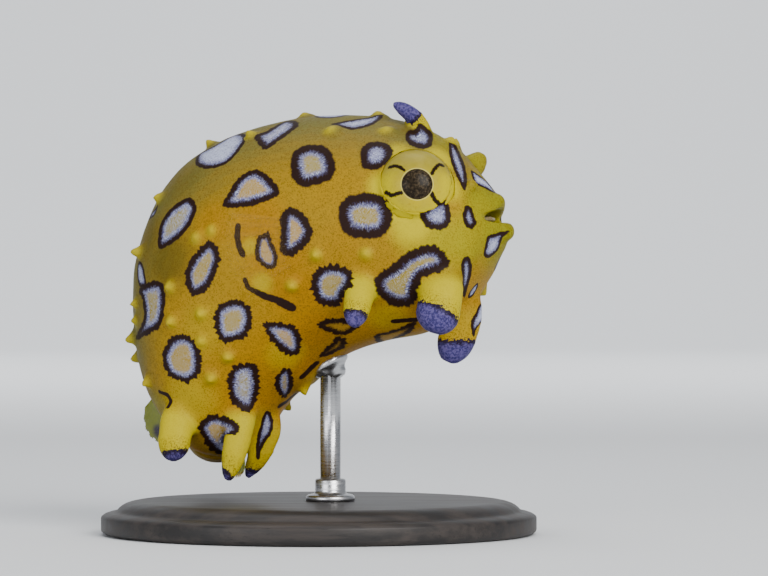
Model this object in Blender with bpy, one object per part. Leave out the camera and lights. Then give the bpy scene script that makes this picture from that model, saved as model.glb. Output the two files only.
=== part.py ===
"""A young burrfish, about 36 mm long, as a life-size display model on an oval stand.

The fish swims with its tail curled down. The body is a loft along a back line and a belly line
that both lie in one upright plane, turned so that the head comes towards the viewer.
World axes: +X towards the head, +Y away from the viewer, +Z up, origin under the base's middle.
"""

import math
import random

import bmesh
import bpy
from mathutils import Matrix, Vector
from mathutils.bvhtree import BVHTree

MM = 0.001
GAP = 0.3 * MM

# The upright plane of the body's bend: its turn towards the viewer and its depth at x = 0.
YAW = math.radians(17.0)
PLANE_DEPTH = -0.4 * MM
# The fish rolls in that plane, more towards its tail: its back leans away from the viewer
# and its belly shows.
SNOUT_ROLL, TAIL_ROLL = 8.0, 28.0

# Stations from snout to rear end, in millimetres of the front elevation:
# back line x, z; belly line x, z; half width across the bend plane.
STATIONS = (
    (14.0, 26.2, 14.5, 23.2, 1.15),
    (13.5, 26.7, 14.4, 22.4, 2.0),
    (12.8, 27.6, 13.8, 21.3, 3.2),
    (11.7, 28.8, 13.0, 19.8, 4.7),
    (10.1, 30.5, 11.4, 17.7, 6.1),
    (6.9, 32.1, 8.6, 15.8, 7.0),
    (2.4, 32.7, 5.4, 15.1, 7.5),
    (-2.6, 32.3, 2.8, 14.3, 7.6),
    (-7.9, 30.6, 0.9, 13.2, 7.5),
    (-11.8, 27.4, -0.4, 11.8, 7.2),
    (-14.1, 22.0, -1.8, 10.9, 6.7),
    (-14.4, 16.8, -2.8, 9.8, 6.0),
    (-13.7, 12.2, -3.8, 8.3, 5.2),
    (-12.1, 8.9, -4.8, 7.0, 4.1),
    (-10.3, 6.8, -5.8, 6.2, 2.6),
    (-9.0, 6.1, -6.9, 5.9, 0.9),
)
LAST = len(STATIONS) - 1
RINGS_PER_STATION = 2
RING_POINTS = 28

# Where the body is parted, by station.
HEAD_CUT = 6.55
WAIST_CUT = 9.0
REAR_CUT = 11.25

# Body parts on the skin are placed by station and by turn: degrees round the body from the
# back's middle, positive towards the viewer, who sees the fish's right side.
EYE_STATION, EYE_TURN = 4.45, 77.0
EYE_RADIUS = 3.0 * MM
EYE_SUNK = 1.5 * MM
ORBIT_RIDGE = 0.4 * MM
PECTORAL_STATION = 7.2
PECTORAL_TURNS = {"pectoral_fin_right": 111.0, "pectoral_fin_left": -100.0}
NOSTRIL_STATION, NOSTRIL_TURN = 2.5, 58.0
DORSAL_STATION, ANAL_STATION = 12.6, 14.0

SKIN_YELLOW = (0.78, 0.55, 0.02, 1.0)
BELLY_ORANGE = (0.80, 0.42, 0.01, 1.0)
LOBE_YELLOW = (0.95, 0.80, 0.0, 1.0)
BROW_BLUE = (0.22, 0.24, 0.62, 1.0)
EYE_GOLD = (0.70, 0.60, 0.12, 1.0)
FIN_CLEAR = (0.85, 0.80, 0.45, 0.4)
BEAK_IVORY = (0.85, 0.80, 0.66, 1.0)
STAND_BLACK = (0.03, 0.03, 0.035, 1.0)
STAND_STEEL = (0.55, 0.55, 0.56, 1.0)


def material(name, colour, roughness, metallic=0.0):
    made = bpy.data.materials.new(name)
    made.use_nodes = True
    shader = made.node_tree.nodes["Principled BSDF"]
    shader.inputs["Base Color"].default_value = colour
    shader.inputs["Roughness"].default_value = roughness
    shader.inputs["Metallic"].default_value = metallic
    made.diffuse_color = colour
    return made


def clear_scene():
    for obj in list(bpy.data.objects):
        bpy.data.objects.remove(obj)


def link(name, mesh, finish=None):
    obj = bpy.data.objects.new(name, mesh)
    bpy.context.scene.collection.objects.link(obj)
    if finish:
        mesh.materials.clear()
        mesh.materials.append(finish)
    return obj


def object_from(name, bm, finish=None):
    bmesh.ops.recalc_face_normals(bm, faces=bm.faces[:])
    mesh = bpy.data.meshes.new(name)
    bm.to_mesh(mesh)
    bm.free()
    return link(name, mesh, finish)


def smooth_step(values, at):
    """Catmull-Rom value at a fractional place along a list of tuples."""
    index = min(int(at), len(values) - 2)
    part = at - index
    before, start, end, after = (
        values[max(0, min(len(values) - 1, index + step))] for step in (-1, 0, 1, 2)
    )
    return tuple(
        0.5 * (2 * b + (c - a) * part + (2 * a - 5 * b + 4 * c - d) * part**2
               + (3 * b - a - 3 * c + d) * part**3)
        for a, b, c, d in zip(before, start, end, after)
    )


def in_plane(x, z):
    """A point of the bend plane, from its place in the front elevation."""
    return Vector((x * MM, PLANE_DEPTH - x * MM * math.tan(YAW), z * MM))


# The eye point of the front elevation, whose measures hold in the plane y = 0.
SIGHT_FROM = Vector((5.08, -300.0, 19.2)) * MM
VIEWER_SIDE = Vector((-math.sin(YAW), -math.cos(YAW), 0.0))


def section(station):
    """Middle, half height as a vector to the back, and half width of the body at a station."""
    back_x, back_z, belly_x, belly_z, half_width = smooth_step(STATIONS, station)
    back, belly = in_plane(back_x, back_z), in_plane(belly_x, belly_z)
    return (back + belly) / 2, (back - belly) / 2, half_width * MM


def skin_point(station, turn):
    middle, up, half_width = section(station)
    roll = SNOUT_ROLL + (TAIL_ROLL - SNOUT_ROLL) * station / LAST
    angle = math.radians(turn - roll)
    return middle + up * math.cos(angle) + VIEWER_SIDE * half_width * math.sin(angle)


def skin_frame(station, turn):
    """A point of the skin with its outward normal and its direction towards the head."""
    point = skin_point(station, turn)
    forward = (skin_point(station - 0.05, turn) - point).normalized()
    around = (skin_point(station, turn + 1.0) - point).normalized()
    normal = around.cross(forward).normalized()
    if normal.dot(point - section(station)[0]) < 0:
        normal.negate()
    return point, normal, forward


def loft(rings):
    """A closed body through rings that all have the same number of points."""
    bm = bmesh.new()
    loops = []
    for ring in rings:
        verts = bmesh.ops.create_circle(bm, segments=len(ring), radius=MM)["verts"]
        for vert, place in zip(verts, ring):
            vert.co = place
        loops.append(list({edge for vert in verts for edge in vert.link_edges}))
    for first, second in zip(loops, loops[1:]):
        bmesh.ops.bridge_loops(bm, edges=first + second)
    for rim in (loops[0], loops[-1]):
        caps = bmesh.ops.edgeloop_fill(bm, edges=rim)["faces"]
        bmesh.ops.poke(bm, faces=caps)
    bmesh.ops.triangulate(bm, faces=bm.faces[:])
    bmesh.ops.recalc_face_normals(bm, faces=bm.faces[:])
    return bm


def body_loft(outset=0.0):
    """The whole body without its spines and lips, or its surface pushed out by an outset."""
    rings = []
    for step in range(LAST * RINGS_PER_STATION + 1):
        station = step / RINGS_PER_STATION
        turns = (360.0 * k / RING_POINTS for k in range(RING_POINTS))
        rings.append([skin_point(station, turn) for turn in turns])
    bm = loft(rings)
    if outset:
        bm.normal_update()
        moved = [(vert, vert.co + vert.normal * outset) for vert in bm.verts]
        for vert, place in moved:
            vert.co = place
    return bm


def drop(obj):
    mesh = obj.data
    bpy.data.objects.remove(obj)
    bpy.data.meshes.remove(mesh)


def apply_boolean(target, operation, operands, solver="EXACT"):
    """Unites, cuts or keeps target with other closed objects, which are used up."""
    group = bpy.data.collections.new("operands")
    for obj in operands:
        group.objects.link(obj)
    modifier = target.modifiers.new("boolean", "BOOLEAN")
    modifier.operation = operation
    modifier.operand_type = "COLLECTION"
    modifier.collection = group
    modifier.solver = solver
    graph = bpy.context.evaluated_depsgraph_get()
    made = bpy.data.meshes.new_from_object(target.evaluated_get(graph))
    old = target.data
    target.modifiers.clear()
    target.data = made
    bpy.data.meshes.remove(old)
    bpy.data.collections.remove(group)
    for obj in operands:
        drop(obj)
    keep_largest(target)
    assert target.data.polygons, target.name


def cut_with(target, cutter_bm, solver="EXACT"):
    apply_boolean(target, "DIFFERENCE", [object_from("cutter", cutter_bm)], solver)


def islands(bm):
    """Groups of faces that hang together."""
    left = set(bm.faces)
    while left:
        group, front = set(), [next(iter(left))]
        while front:
            face = front.pop()
            if face in left:
                left.discard(face)
                group.add(face)
                front.extend(near for edge in face.edges for near in edge.link_faces)
        yield group


def keep_largest(obj):
    bm = bmesh.new()
    bm.from_mesh(obj.data)
    bmesh.ops.remove_doubles(bm, verts=bm.verts[:], dist=0.002 * MM)
    bmesh.ops.dissolve_degenerate(bm, edges=bm.edges[:], dist=0.002 * MM)
    bmesh.ops.triangulate(bm, faces=bm.faces[:])
    groups = sorted(islands(bm), key=lambda group: sum(face.calc_area() for face in group))
    scraps = [face for group in groups[:-1] for face in group]
    bmesh.ops.delete(bm, geom=scraps, context="FACES")
    bmesh.ops.delete(
        bm, geom=[vert for vert in bm.verts if not vert.link_faces], context="VERTS"
    )
    bm.to_mesh(obj.data)
    bm.free()


# Small skin-covered spines

SPINE_SIDES = 5
SPINE_ROOT = 0.45 * MM
SPINE_RADIUS = 0.68 * MM
SPINE_WAIST = 0.30 * MM
SPINE_LEAN = 0.3

# Places, in millimetres of the front elevation, of the spines on the side that is seen.
SEEN_SPINES = (
    (-0.2, 21.8), (3.7, 21.9), (-11.6, 19.3), (-11.5, 16.6), (-9.2, 17.2), (-9.5, 14.8),
    (-7.1, 13.8), (-8.4, 12.2), (-10.7, 10.8), (-7.7, 10.1), (-13.1, 12.1), (-13.8, 15.1),
    (-14.4, 13.8), (-13.8, 21.7), (-12.0, 25.7), (-8.4, 30.1), (-5.3, 31.1), (-1.1, 32.6),
    (4.6, 32.6), (0.9, 31.5), (5.2, 31.5), (-9.6, 23.1), (-8.4, 23.7), (-2.1, 19.4),
    (10.2, 31.2), (-1.2, 11.4),
)
# Spines of the side turned away: rows by station, with this spacing round the body.
FAR_ROW_STATIONS = (3.9, 5.0, 6.1, 7.1, 8.0, 8.8, 9.6, 10.4, 11.1, 11.9, 12.7)
FAR_SPACING = 3.4 * MM
FAR_TURNS = (-150.0, 8.0)
SPINE_CLEARANCE = 1.5 * MM
SPINE_CUT_CLEARANCE = 0.75 * MM


def turned_profile(profile, sides):
    """A closed turned shape round +Z, from (radius, height) pairs."""
    bm = loft([
        [Vector((radius * math.cos(a), radius * math.sin(a), height))
         for a in (2 * math.pi * k / sides for k in range(sides))]
        for radius, height in profile
    ])
    return bm


def spine(root, normal, size, height):
    """A cone with hollow sides that leans back, its broad root sunk in the skin."""
    profile = (
        (SPINE_RADIUS * size * 1.15, -SPINE_ROOT),
        (SPINE_WAIST * size, height * 0.5),
        (0.05 * MM, height),
    )
    bm = turned_profile(profile, SPINE_SIDES)
    leaning = (normal - forward_near(root) * SPINE_LEAN).normalized()
    turn = leaning.to_track_quat("Z", "Y").to_matrix().to_4x4()
    bmesh.ops.transform(bm, matrix=Matrix.Translation(root) @ turn, verts=bm.verts[:])
    return object_from("spine", bm)


def forward_near(point):
    """The body's direction towards the head at the section nearest to a point."""
    steps = (step / 2 for step in range(1, 2 * LAST))
    nearest = min(steps, key=lambda station: (section(station)[0] - point).length)
    return cut_plane(nearest)[1]


def spine_roots(keep_off):
    """Places and normals of all the spines, clear of other pieces and of the cuts."""
    bm = body_loft()
    skin = BVHTree.FromBMesh(bm)
    bm.free()
    found = []
    for x, z in SEEN_SPINES:
        sight = Vector((x * MM, 0.0, z * MM)) - SIGHT_FROM
        place, normal, _, _ = skin.ray_cast(SIGHT_FROM, sight.normalized())
        if place is None:
            place, normal, _, _ = skin.find_nearest(in_plane(x, z))
        found.append((place, normal))
    chance = random.Random(7)
    low, high = FAR_TURNS
    for station in FAR_ROW_STATIONS:
        _, up, half_width = section(station)
        girth = math.pi * (up.length + half_width) * (high - low) / 360.0
        count = max(3, round(girth / FAR_SPACING))
        for k in range(count):
            turn = low + (high - low) * (k + chance.uniform(0.3, 0.7)) / count
            place, normal, _ = skin_frame(station + chance.uniform(-0.2, 0.2), turn)
            found.append((place, normal))
    kept = []
    for place, normal in found:
        near = any((place - spot).length < reach for spot, reach in keep_off)
        cut = any(abs((place - point).dot(along)) < SPINE_CUT_CLEARANCE for point, along in cut_planes())
        close = any((place - other).length < SPINE_CLEARANCE for other, _ in kept)
        if not (near or cut or close):
            kept.append((place, normal))
    return kept


def spines(keep_off):
    chance = random.Random(11)
    return [
        spine(place, normal, chance.uniform(0.92, 1.1), chance.uniform(0.62, 0.8) * MM)
        for place, normal in spine_roots(keep_off)
    ]


# Cuts across the body

def cut_plane(station):
    """Middle and forward direction of the body's section at a station."""
    middle, up, _ = section(station)
    return middle, up.normalized().cross(VIEWER_SIDE).normalized()


def cut_planes():
    return [cut_plane(station) for station in (HEAD_CUT, WAIST_CUT, REAR_CUT)]


def part_of(body, name, front, rear, finish):
    """The slice of the body between two cut stations, or to its end where one is None."""
    bm = bmesh.new()
    bm.from_mesh(body.data)
    for station, facing in ((front, 1.0), (rear, -1.0)):
        if station is None:
            continue
        middle, forward = cut_plane(station)
        outward = forward * facing
        cut = bmesh.ops.bisect_plane(
            bm, geom=bm.verts[:] + bm.edges[:] + bm.faces[:], dist=0.001 * MM,
            plane_co=middle - outward * GAP / 2, plane_no=outward, clear_outer=True,
        )["geom_cut"]
        rim = [item for item in cut if isinstance(item, bmesh.types.BMEdge)]
        bmesh.ops.edgeloop_fill(bm, edges=rim)
    obj = object_from(name, bm, finish)
    keep_largest(obj)
    return obj


# Fleshy lobes

LOBE_SIDES = 10
LOBE_STEPS = 6

# Width is across the lobe and thickness through it; end is the tip's share of the width.
# Reach is how far the lobe first stands out from the skin before it bends to its tip.
LOBES = {
    "brow_lobe_right": dict(station=4.6, turn=24.0, tip=(-2.3, -1.0, 2.0), width=1.6,
                            thickness=1.5, reach=1.0, end=0.75),
    "brow_lobe_left": dict(station=3.75, turn=-28.0, tip=(0.75, 0.9, 0.4), width=2.2,
                           thickness=1.7, reach=1.0, end=0.9),
    "chin_lobe_right": dict(station=4.2, turn=147.0, tip=(-0.6, -1.6, -3.6), width=3.7,
                            thickness=2.7, reach=1.6, end=0.95),
    "chin_lobe_left": dict(station=4.1, turn=-168.0, tip=(-1.2, -0.2, -4.0), width=3.3,
                           thickness=2.5, reach=1.0, end=0.9),
    "belly_lobe_right": dict(station=5.85, turn=138.0, tip=(-0.6, -2.6, -3.0), width=2.9,
                             thickness=2.5, reach=1.7, end=0.75),
    "belly_lobe_left": dict(station=5.9, turn=-126.0, tip=(0.3, 2.9, -0.6), width=2.8,
                            thickness=2.2, reach=1.6, end=0.75),
    "flank_lobe_right": dict(station=12.6, turn=103.0, tip=(-0.4, -1.6, -3.2), width=3.1,
                             thickness=2.2, reach=1.2, end=0.8),
    "flank_lobe_left": dict(station=11.9, turn=-80.0, tip=(-1.2, 2.6, 0.0), width=2.9,
                            thickness=2.0, reach=1.6, end=0.75),
    "vent_lobe_right": dict(station=11.8, turn=161.0, tip=(-1.0, -1.2, -4.9), width=2.7,
                            thickness=2.0, reach=1.0, end=0.65),
    "vent_lobe_left": dict(station=12.0, turn=-163.0, tip=(-1.7, 0.5, -4.0), width=2.5,
                           thickness=1.6, reach=0.9, end=0.6),
}
ROOT_DEPTH = 1.2 * MM


DOME_START = 0.68
# How far a lobe already leans towards its tip where it leaves the skin.
LOBE_LEAN = 0.9


def bezier(points, at):
    """Place and direction on a curve with three control points."""
    start, bend, end = points
    place = start * (1 - at) ** 2 + bend * 2 * at * (1 - at) + end * at**2
    direction = (bend - start) * (1 - at) + (end - bend) * at
    return place, direction.normalized()


def lobe_width_share(at, end):
    """A lobe's width along its length, 1 at the root: a slow taper and then a round end."""
    taper = 1.0 + (end - 1.0) * at
    dome = math.sqrt(1.0 - max(0.0, (at - DOME_START) / (1.02 - DOME_START)) ** 2)
    return taper * dome


def lobe_mesh(station, turn, tip, width, thickness, reach, end):
    root, normal, _ = skin_frame(station, turn)
    tip_place = root + Vector(tip) * MM
    start = (normal + Vector(tip).normalized() * LOBE_LEAN).normalized()
    curve = (root, root + start * reach * MM, tip_place)
    rings = []
    for step in range(-1, LOBE_STEPS + 1):
        at = math.sin(math.pi / 2 * max(step, 0) / LOBE_STEPS)
        if step < 0:
            place, direction = root - start * ROOT_DEPTH, start
        else:
            place, direction = bezier(curve, at)
        across = direction.cross(Vector((0.0, 1.0, 0.25))).normalized()
        through = across.cross(direction).normalized()
        share = lobe_width_share(at, end)
        rings.append([
            place
            + across * (width * MM / 2) * share * math.cos(a)
            + through * (thickness * MM / 2) * share * math.sin(a)
            for a in (2 * math.pi * k / LOBE_SIDES for k in range(LOBE_SIDES))
        ])
    return loft(rings)


def lobes(finish):
    for name, sizes in LOBES.items():
        obj = object_from(name, lobe_mesh(**sizes), finish)
        cut_with(obj, body_loft(GAP), "MANIFOLD")


# Eyes, mouth and nostrils

def eye_centre(side):
    point, normal, _ = skin_frame(EYE_STATION, side * EYE_TURN)
    return point - normal * EYE_SUNK, normal


def ball(centre, radius, segments=18, rings=10):
    bm = bmesh.new()
    bmesh.ops.create_uvsphere(bm, u_segments=segments, v_segments=rings, radius=radius)
    bmesh.ops.translate(bm, vec=centre, verts=bm.verts[:])
    return bm


def ring_round(centre, axis, radius, tube, points=20, sides=6):
    """A fleshy ring about an axis."""
    turn = axis.to_track_quat("Z", "Y").to_matrix()
    bm = bmesh.new()
    loops = []
    for k in range(points):
        angle = 2 * math.pi * k / points
        out = Vector((math.cos(angle), math.sin(angle), 0.0))
        verts = bmesh.ops.create_circle(bm, segments=sides, radius=MM)["verts"]
        for j, vert in enumerate(verts):
            b = 2 * math.pi * j / sides
            lift = Vector((0, 0, tube * math.sin(b)))
            vert.co = centre + turn @ (out * (radius + tube * math.cos(b)) + lift)
        loops.append(list({edge for vert in verts for edge in vert.link_edges}))
    for first, second in zip(loops, loops[1:] + loops[:1]):
        bmesh.ops.bridge_loops(bm, edges=first + second)
    bmesh.ops.triangulate(bm, faces=bm.faces[:])
    return bm


def orbit_radius():
    """Radius of the ring in which an eye's ball meets the skin, and a little more."""
    return math.sqrt(EYE_RADIUS**2 - EYE_SUNK**2) + ORBIT_RIDGE * 0.6


def orbit_ridges():
    """The skin's raised rim round each eye."""
    made = []
    for side in (1, -1):
        point, normal, _ = skin_frame(EYE_STATION, side * EYE_TURN)
        made.append(object_from(
            "orbit", ring_round(point - normal * 0.1 * MM, normal, orbit_radius(), ORBIT_RIDGE)
        ))
    return made


# The mouth: its own slight roll, half its width, and each lip's roll as (ahead, above, radius) at its middle.
MOUTH_ROLL = math.radians(2.0)
MOUTH_HALF = 1.7 * MM
UPPER_LIP = (-0.35 * MM, 1.20 * MM, 0.76 * MM)
LOWER_LIP = (-0.1 * MM, 1.16 * MM, 0.80 * MM)
LIP_CORNER_BACK = 1.1 * MM
LIP_STEPS, LIP_SIDES = 10, 8
# The open slot between the lips and the hollow behind it, where the beak shows.
SLOT_AHEAD, SLOT_LENGTH, SLOT_HEIGHT = 0.3 * MM, 1.3 * MM, 0.45 * MM
HOLLOW_LENGTH, HOLLOW_HALF, HOLLOW_HEIGHT = 1.8 * MM, 1.7 * MM, 0.62 * MM
BEAK_BACK = 1.5 * MM
BEAK_LENGTH, BEAK_HALF, BEAK_HEIGHT = 0.75 * MM, 1.35 * MM, 0.30 * MM


def mouth_axes():
    """Middle of the mouth, with the head's right-hand, forward and up directions."""
    middle, up, _ = section(0.0)
    forward = cut_plane(1.0)[1]
    up = Matrix.Rotation(MOUTH_ROLL, 3, -forward) @ up.normalized()
    up = (up - forward * up.dot(forward)).normalized()
    return middle, forward.cross(up), forward, up


def in_mouth(bm, ahead, size):
    """Sets a unit-sized shape in the mouth, so far ahead and scaled across, along and up."""
    middle, right, forward, up = mouth_axes()
    turn = Matrix((right, forward, up)).transposed().to_4x4()
    place = Matrix.Translation(middle + forward * ahead)
    scale = Matrix.Diagonal((*size, 1.0))
    bmesh.ops.transform(bm, matrix=place @ turn @ scale, verts=bm.verts[:])
    return bm


def lip(sign, ahead, above, radius):
    """One lip: a soft roll that bows forward in its middle and narrows to the corners."""
    middle, right, forward, up = mouth_axes()
    rings = []
    for step in range(LIP_STEPS + 1):
        across = math.cos(math.pi * step / LIP_STEPS)
        bow = 1.0 - across * across
        thick = radius * (0.45 + 0.55 * bow**0.5)
        centre = (
            middle + right * MOUTH_HALF * across
            + forward * (ahead * bow - LIP_CORNER_BACK * (1 - bow))
            + up * sign * above * (0.45 + 0.55 * bow)
        )
        rings.append([
            centre + forward * thick * math.cos(b) + up * thick * math.sin(b)
            for b in (2 * math.pi * j / LIP_SIDES for j in range(LIP_SIDES))
        ])
    return object_from("lip", loft(rings))


def lips():
    return [lip(1, *UPPER_LIP), lip(-1, *LOWER_LIP)]


def mouth_slot():
    """A flat slot right across the snout, rounded at its inner end."""
    bm = bmesh.new()
    bmesh.ops.create_cone(bm, cap_ends=True, segments=20, radius1=1.0, radius2=1.0, depth=8 * MM)
    bmesh.ops.rotate(bm, matrix=Matrix.Rotation(math.radians(90), 3, "Y"), verts=bm.verts[:])
    return in_mouth(bm, SLOT_AHEAD, (1.0, SLOT_LENGTH, SLOT_HEIGHT))


def mouth_hollow():
    return in_mouth(ball(Vector(), 1.0, 16, 8), -LIP_CORNER_BACK,
                    (HOLLOW_HALF, HOLLOW_LENGTH, HOLLOW_HEIGHT))


def beak(finish):
    """The fused tooth plates, set back between the lips."""
    size = (BEAK_HALF, BEAK_LENGTH, BEAK_HEIGHT)
    object_from("beak", in_mouth(ball(Vector(), 1.0, 14, 8), -BEAK_BACK, size), finish)


def nostrils():
    """A low tube on each side between eye and mouth."""
    made = []
    for side in (1, -1):
        point, normal, _ = skin_frame(NOSTRIL_STATION, side * NOSTRIL_TURN)
        profile = ((0.62 * MM, -0.5 * MM), (0.50 * MM, 0.3 * MM), (0.42 * MM, 0.55 * MM),
                   (0.2 * MM, 0.5 * MM), (0.14 * MM, 0.1 * MM))
        bm = turned_profile(profile, 10)
        turn = normal.to_track_quat("Z", "Y").to_matrix().to_4x4()
        bmesh.ops.transform(bm, matrix=Matrix.Translation(point) @ turn, verts=bm.verts[:])
        made.append(object_from("nostril", bm))
    return made


def eyes(finish):
    for name, side in (("eye_right", 1), ("eye_left", -1)):
        centre, _ = eye_centre(side)
        object_from(name, ball(centre, EYE_RADIUS - GAP), finish)


# Fins: a fan of rays on a thin membrane

FIN_STEPS = 4
FIN_ROOT_THICK, FIN_EDGE_THICK = 0.75 * MM, 0.45 * MM
RAY_RISE = 0.12 * MM
SLIGHT = 0.01


def fin_solid(place, rays):
    """A closed thin fan with a ridge along each ray, on both of its faces.

    place(share of the rays, share of the length) gives the points of its middle sheet.
    """
    columns = 2 * rays
    bm = bmesh.new()
    rims = []
    for side in (1, -1):
        verts = bmesh.ops.create_grid(bm, x_segments=columns, y_segments=FIN_STEPS, size=1.0)["verts"]
        inside = set(verts)
        faces = [face for face in bm.faces if face.verts[0] in inside]
        rims.append([edge for vert in verts for edge in vert.link_edges if edge.is_boundary])
        bmesh.ops.triangulate(bm, faces=faces, quad_method="FIXED")
        for vert in verts:
            fan, along = (vert.co.x + 1) / 2, (vert.co.y + 1) / 2
            ray = round(fan * columns) % 2 == 1
            middle = place(fan, along)
            slope = place(min(fan + SLIGHT, 1.0), along) - place(max(fan - SLIGHT, 0.0), along)
            length = place(fan, min(along + SLIGHT, 1.0)) - place(fan, max(along - SLIGHT, 0.0))
            normal = slope.cross(length).normalized()
            thick = FIN_ROOT_THICK + (FIN_EDGE_THICK - FIN_ROOT_THICK) * along
            vert.co = middle + normal * side * (thick / 2 + (RAY_RISE if ray else 0.0))
    bmesh.ops.bridge_loops(bm, edges=list(set(rims[0] + rims[1])))
    bmesh.ops.triangulate(bm, faces=bm.faces[:])
    return bm


def fan_fin(root, base, out, length, spread, bow):
    """A fan from a base line: base is its half length as a vector, out its direction."""
    def place(fan, along):
        across = 2 * fan - 1
        tilt = across * spread
        direction = (out * math.cos(tilt) + base.normalized() * math.sin(tilt))
        round_edge = 1.0 - 0.16 * across * across
        side = out.cross(base).normalized()
        curve = side * bow * (along**2)
        return root + base * across - out * ROOT_DEPTH * (1 - along) + (
            direction * length * round_edge * along + curve)
    return place


# The stalk leaves the body's rear end on the far side and curls upwards.
STALK = ((-8.2, 3.0, 7.8), (-8.4, 9.6, 5.8), (-8.2, 11.6, 9.4))
STALK_RADII = ((2.2, 2.6), (1.1, 1.5))
STALK_SIDES, STALK_STEPS = 12, 7
STALK_UP = Vector((-1.0, 0.1, 0.1))


def stalk_curve():
    return tuple(Vector(point) * MM for point in STALK)


def tail_stalk(finish):
    """The narrow stalk of the tail, folded round to the fish's far side."""
    curve = stalk_curve()
    rings = []
    for step in range(STALK_STEPS + 1):
        at = step / STALK_STEPS
        place, direction = bezier(curve, at)
        (thin_0, tall_0), (thin_1, tall_1) = STALK_RADII
        thin, tall = (thin_0 + (thin_1 - thin_0) * at) * MM, (tall_0 + (tall_1 - tall_0) * at) * MM
        across = direction.cross(STALK_UP).normalized()
        rise = across.cross(direction).normalized()
        rings.append([
            place + across * thin * math.cos(a) + rise * tall * math.sin(a)
            for a in (2 * math.pi * k / STALK_SIDES for k in range(STALK_SIDES))
        ])
    obj = object_from("tail_stalk", loft(rings), finish)
    cut_with(obj, body_loft(GAP))
    return obj


def tail_fin(finish):
    curve = stalk_curve()
    end, direction = bezier(curve, 1.0)
    rise = (STALK_UP - direction * STALK_UP.dot(direction)).normalized()
    place = fan_fin(end + direction * (GAP + ROOT_DEPTH), rise * 1.1 * MM, direction,
                    4.6 * MM, math.radians(20), 0.5 * MM)
    object_from("tail_fin", fin_solid(place, 8), finish)


def upright_fins(finish):
    """Dorsal and anal fin, opposite each other just ahead of the tail stalk."""
    for name, station, turn, length, half, rays in (
        ("dorsal_fin", DORSAL_STATION, 0.0, 2.7, 1.3, 6),
        ("anal_fin", ANAL_STATION, 180.0, 1.9, 0.8, 5),
    ):
        root, normal, forward = skin_frame(station, turn)
        out = (normal - forward * 0.35).normalized()
        base = (forward - out * forward.dot(out)).normalized() * half * MM
        place = fan_fin(root, base, out, length * MM, math.radians(14), 0.25 * MM)
        obj = object_from(name, fin_solid(place, rays), finish)
        cut_with(obj, body_loft(GAP))


def pectoral_fins(finish):
    for name, turn in PECTORAL_TURNS.items():
        side = math.copysign(1.0, turn)
        root, normal, forward = skin_frame(PECTORAL_STATION, turn)
        out = (normal * 0.7 - forward).normalized()
        around = normal.cross(forward).normalized() * side
        base = around * 1.7 * MM
        place = fan_fin(root, base, out, 4.6 * MM, math.radians(26), side * 0.4 * MM)
        obj = object_from(name, fin_solid(place, 8), finish)
        cut_with(obj, body_loft(GAP))


# Stand

BASE_LENGTH, BASE_WIDTH, BASE_HEIGHT = 34.0 * MM, 32.0 * MM, 2.6 * MM
BASE_SIDES = 48
# The base's moulded edge, from its foot up: shares of the half length and width, and heights.
BASE_PROFILE = (
    (0.96, 0.0), (1.0, 0.3 * MM), (1.0, 1.4 * MM), (0.965, 1.7 * MM), (0.93, 1.85 * MM),
    (0.91, 2.2 * MM), (0.87, 2.5 * MM), (0.83, BASE_HEIGHT),
)
ROD_RADIUS = 0.8 * MM
ROD_X = 0.9 * MM
ROD_TOP = 18.0 * MM


def stand(base_finish, rod_finish):
    bm = turned_profile(BASE_PROFILE, BASE_SIDES)
    bmesh.ops.scale(bm, vec=(BASE_LENGTH / 2, BASE_WIDTH / 2, 1.0), verts=bm.verts[:])
    object_from("stand_base", bm, base_finish)
    rod_y = in_plane(ROD_X / MM, 0).y
    bm = bmesh.new()
    low = BASE_HEIGHT + GAP
    bmesh.ops.create_cone(
        bm, cap_ends=True, segments=20, radius1=ROD_RADIUS, radius2=ROD_RADIUS, depth=ROD_TOP - low
    )
    bmesh.ops.translate(bm, vec=(ROD_X, rod_y, (ROD_TOP + low) / 2), verts=bm.verts[:])
    rod = object_from("stand_rod", bm, rod_finish)
    cut_with(rod, body_loft(GAP))


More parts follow.
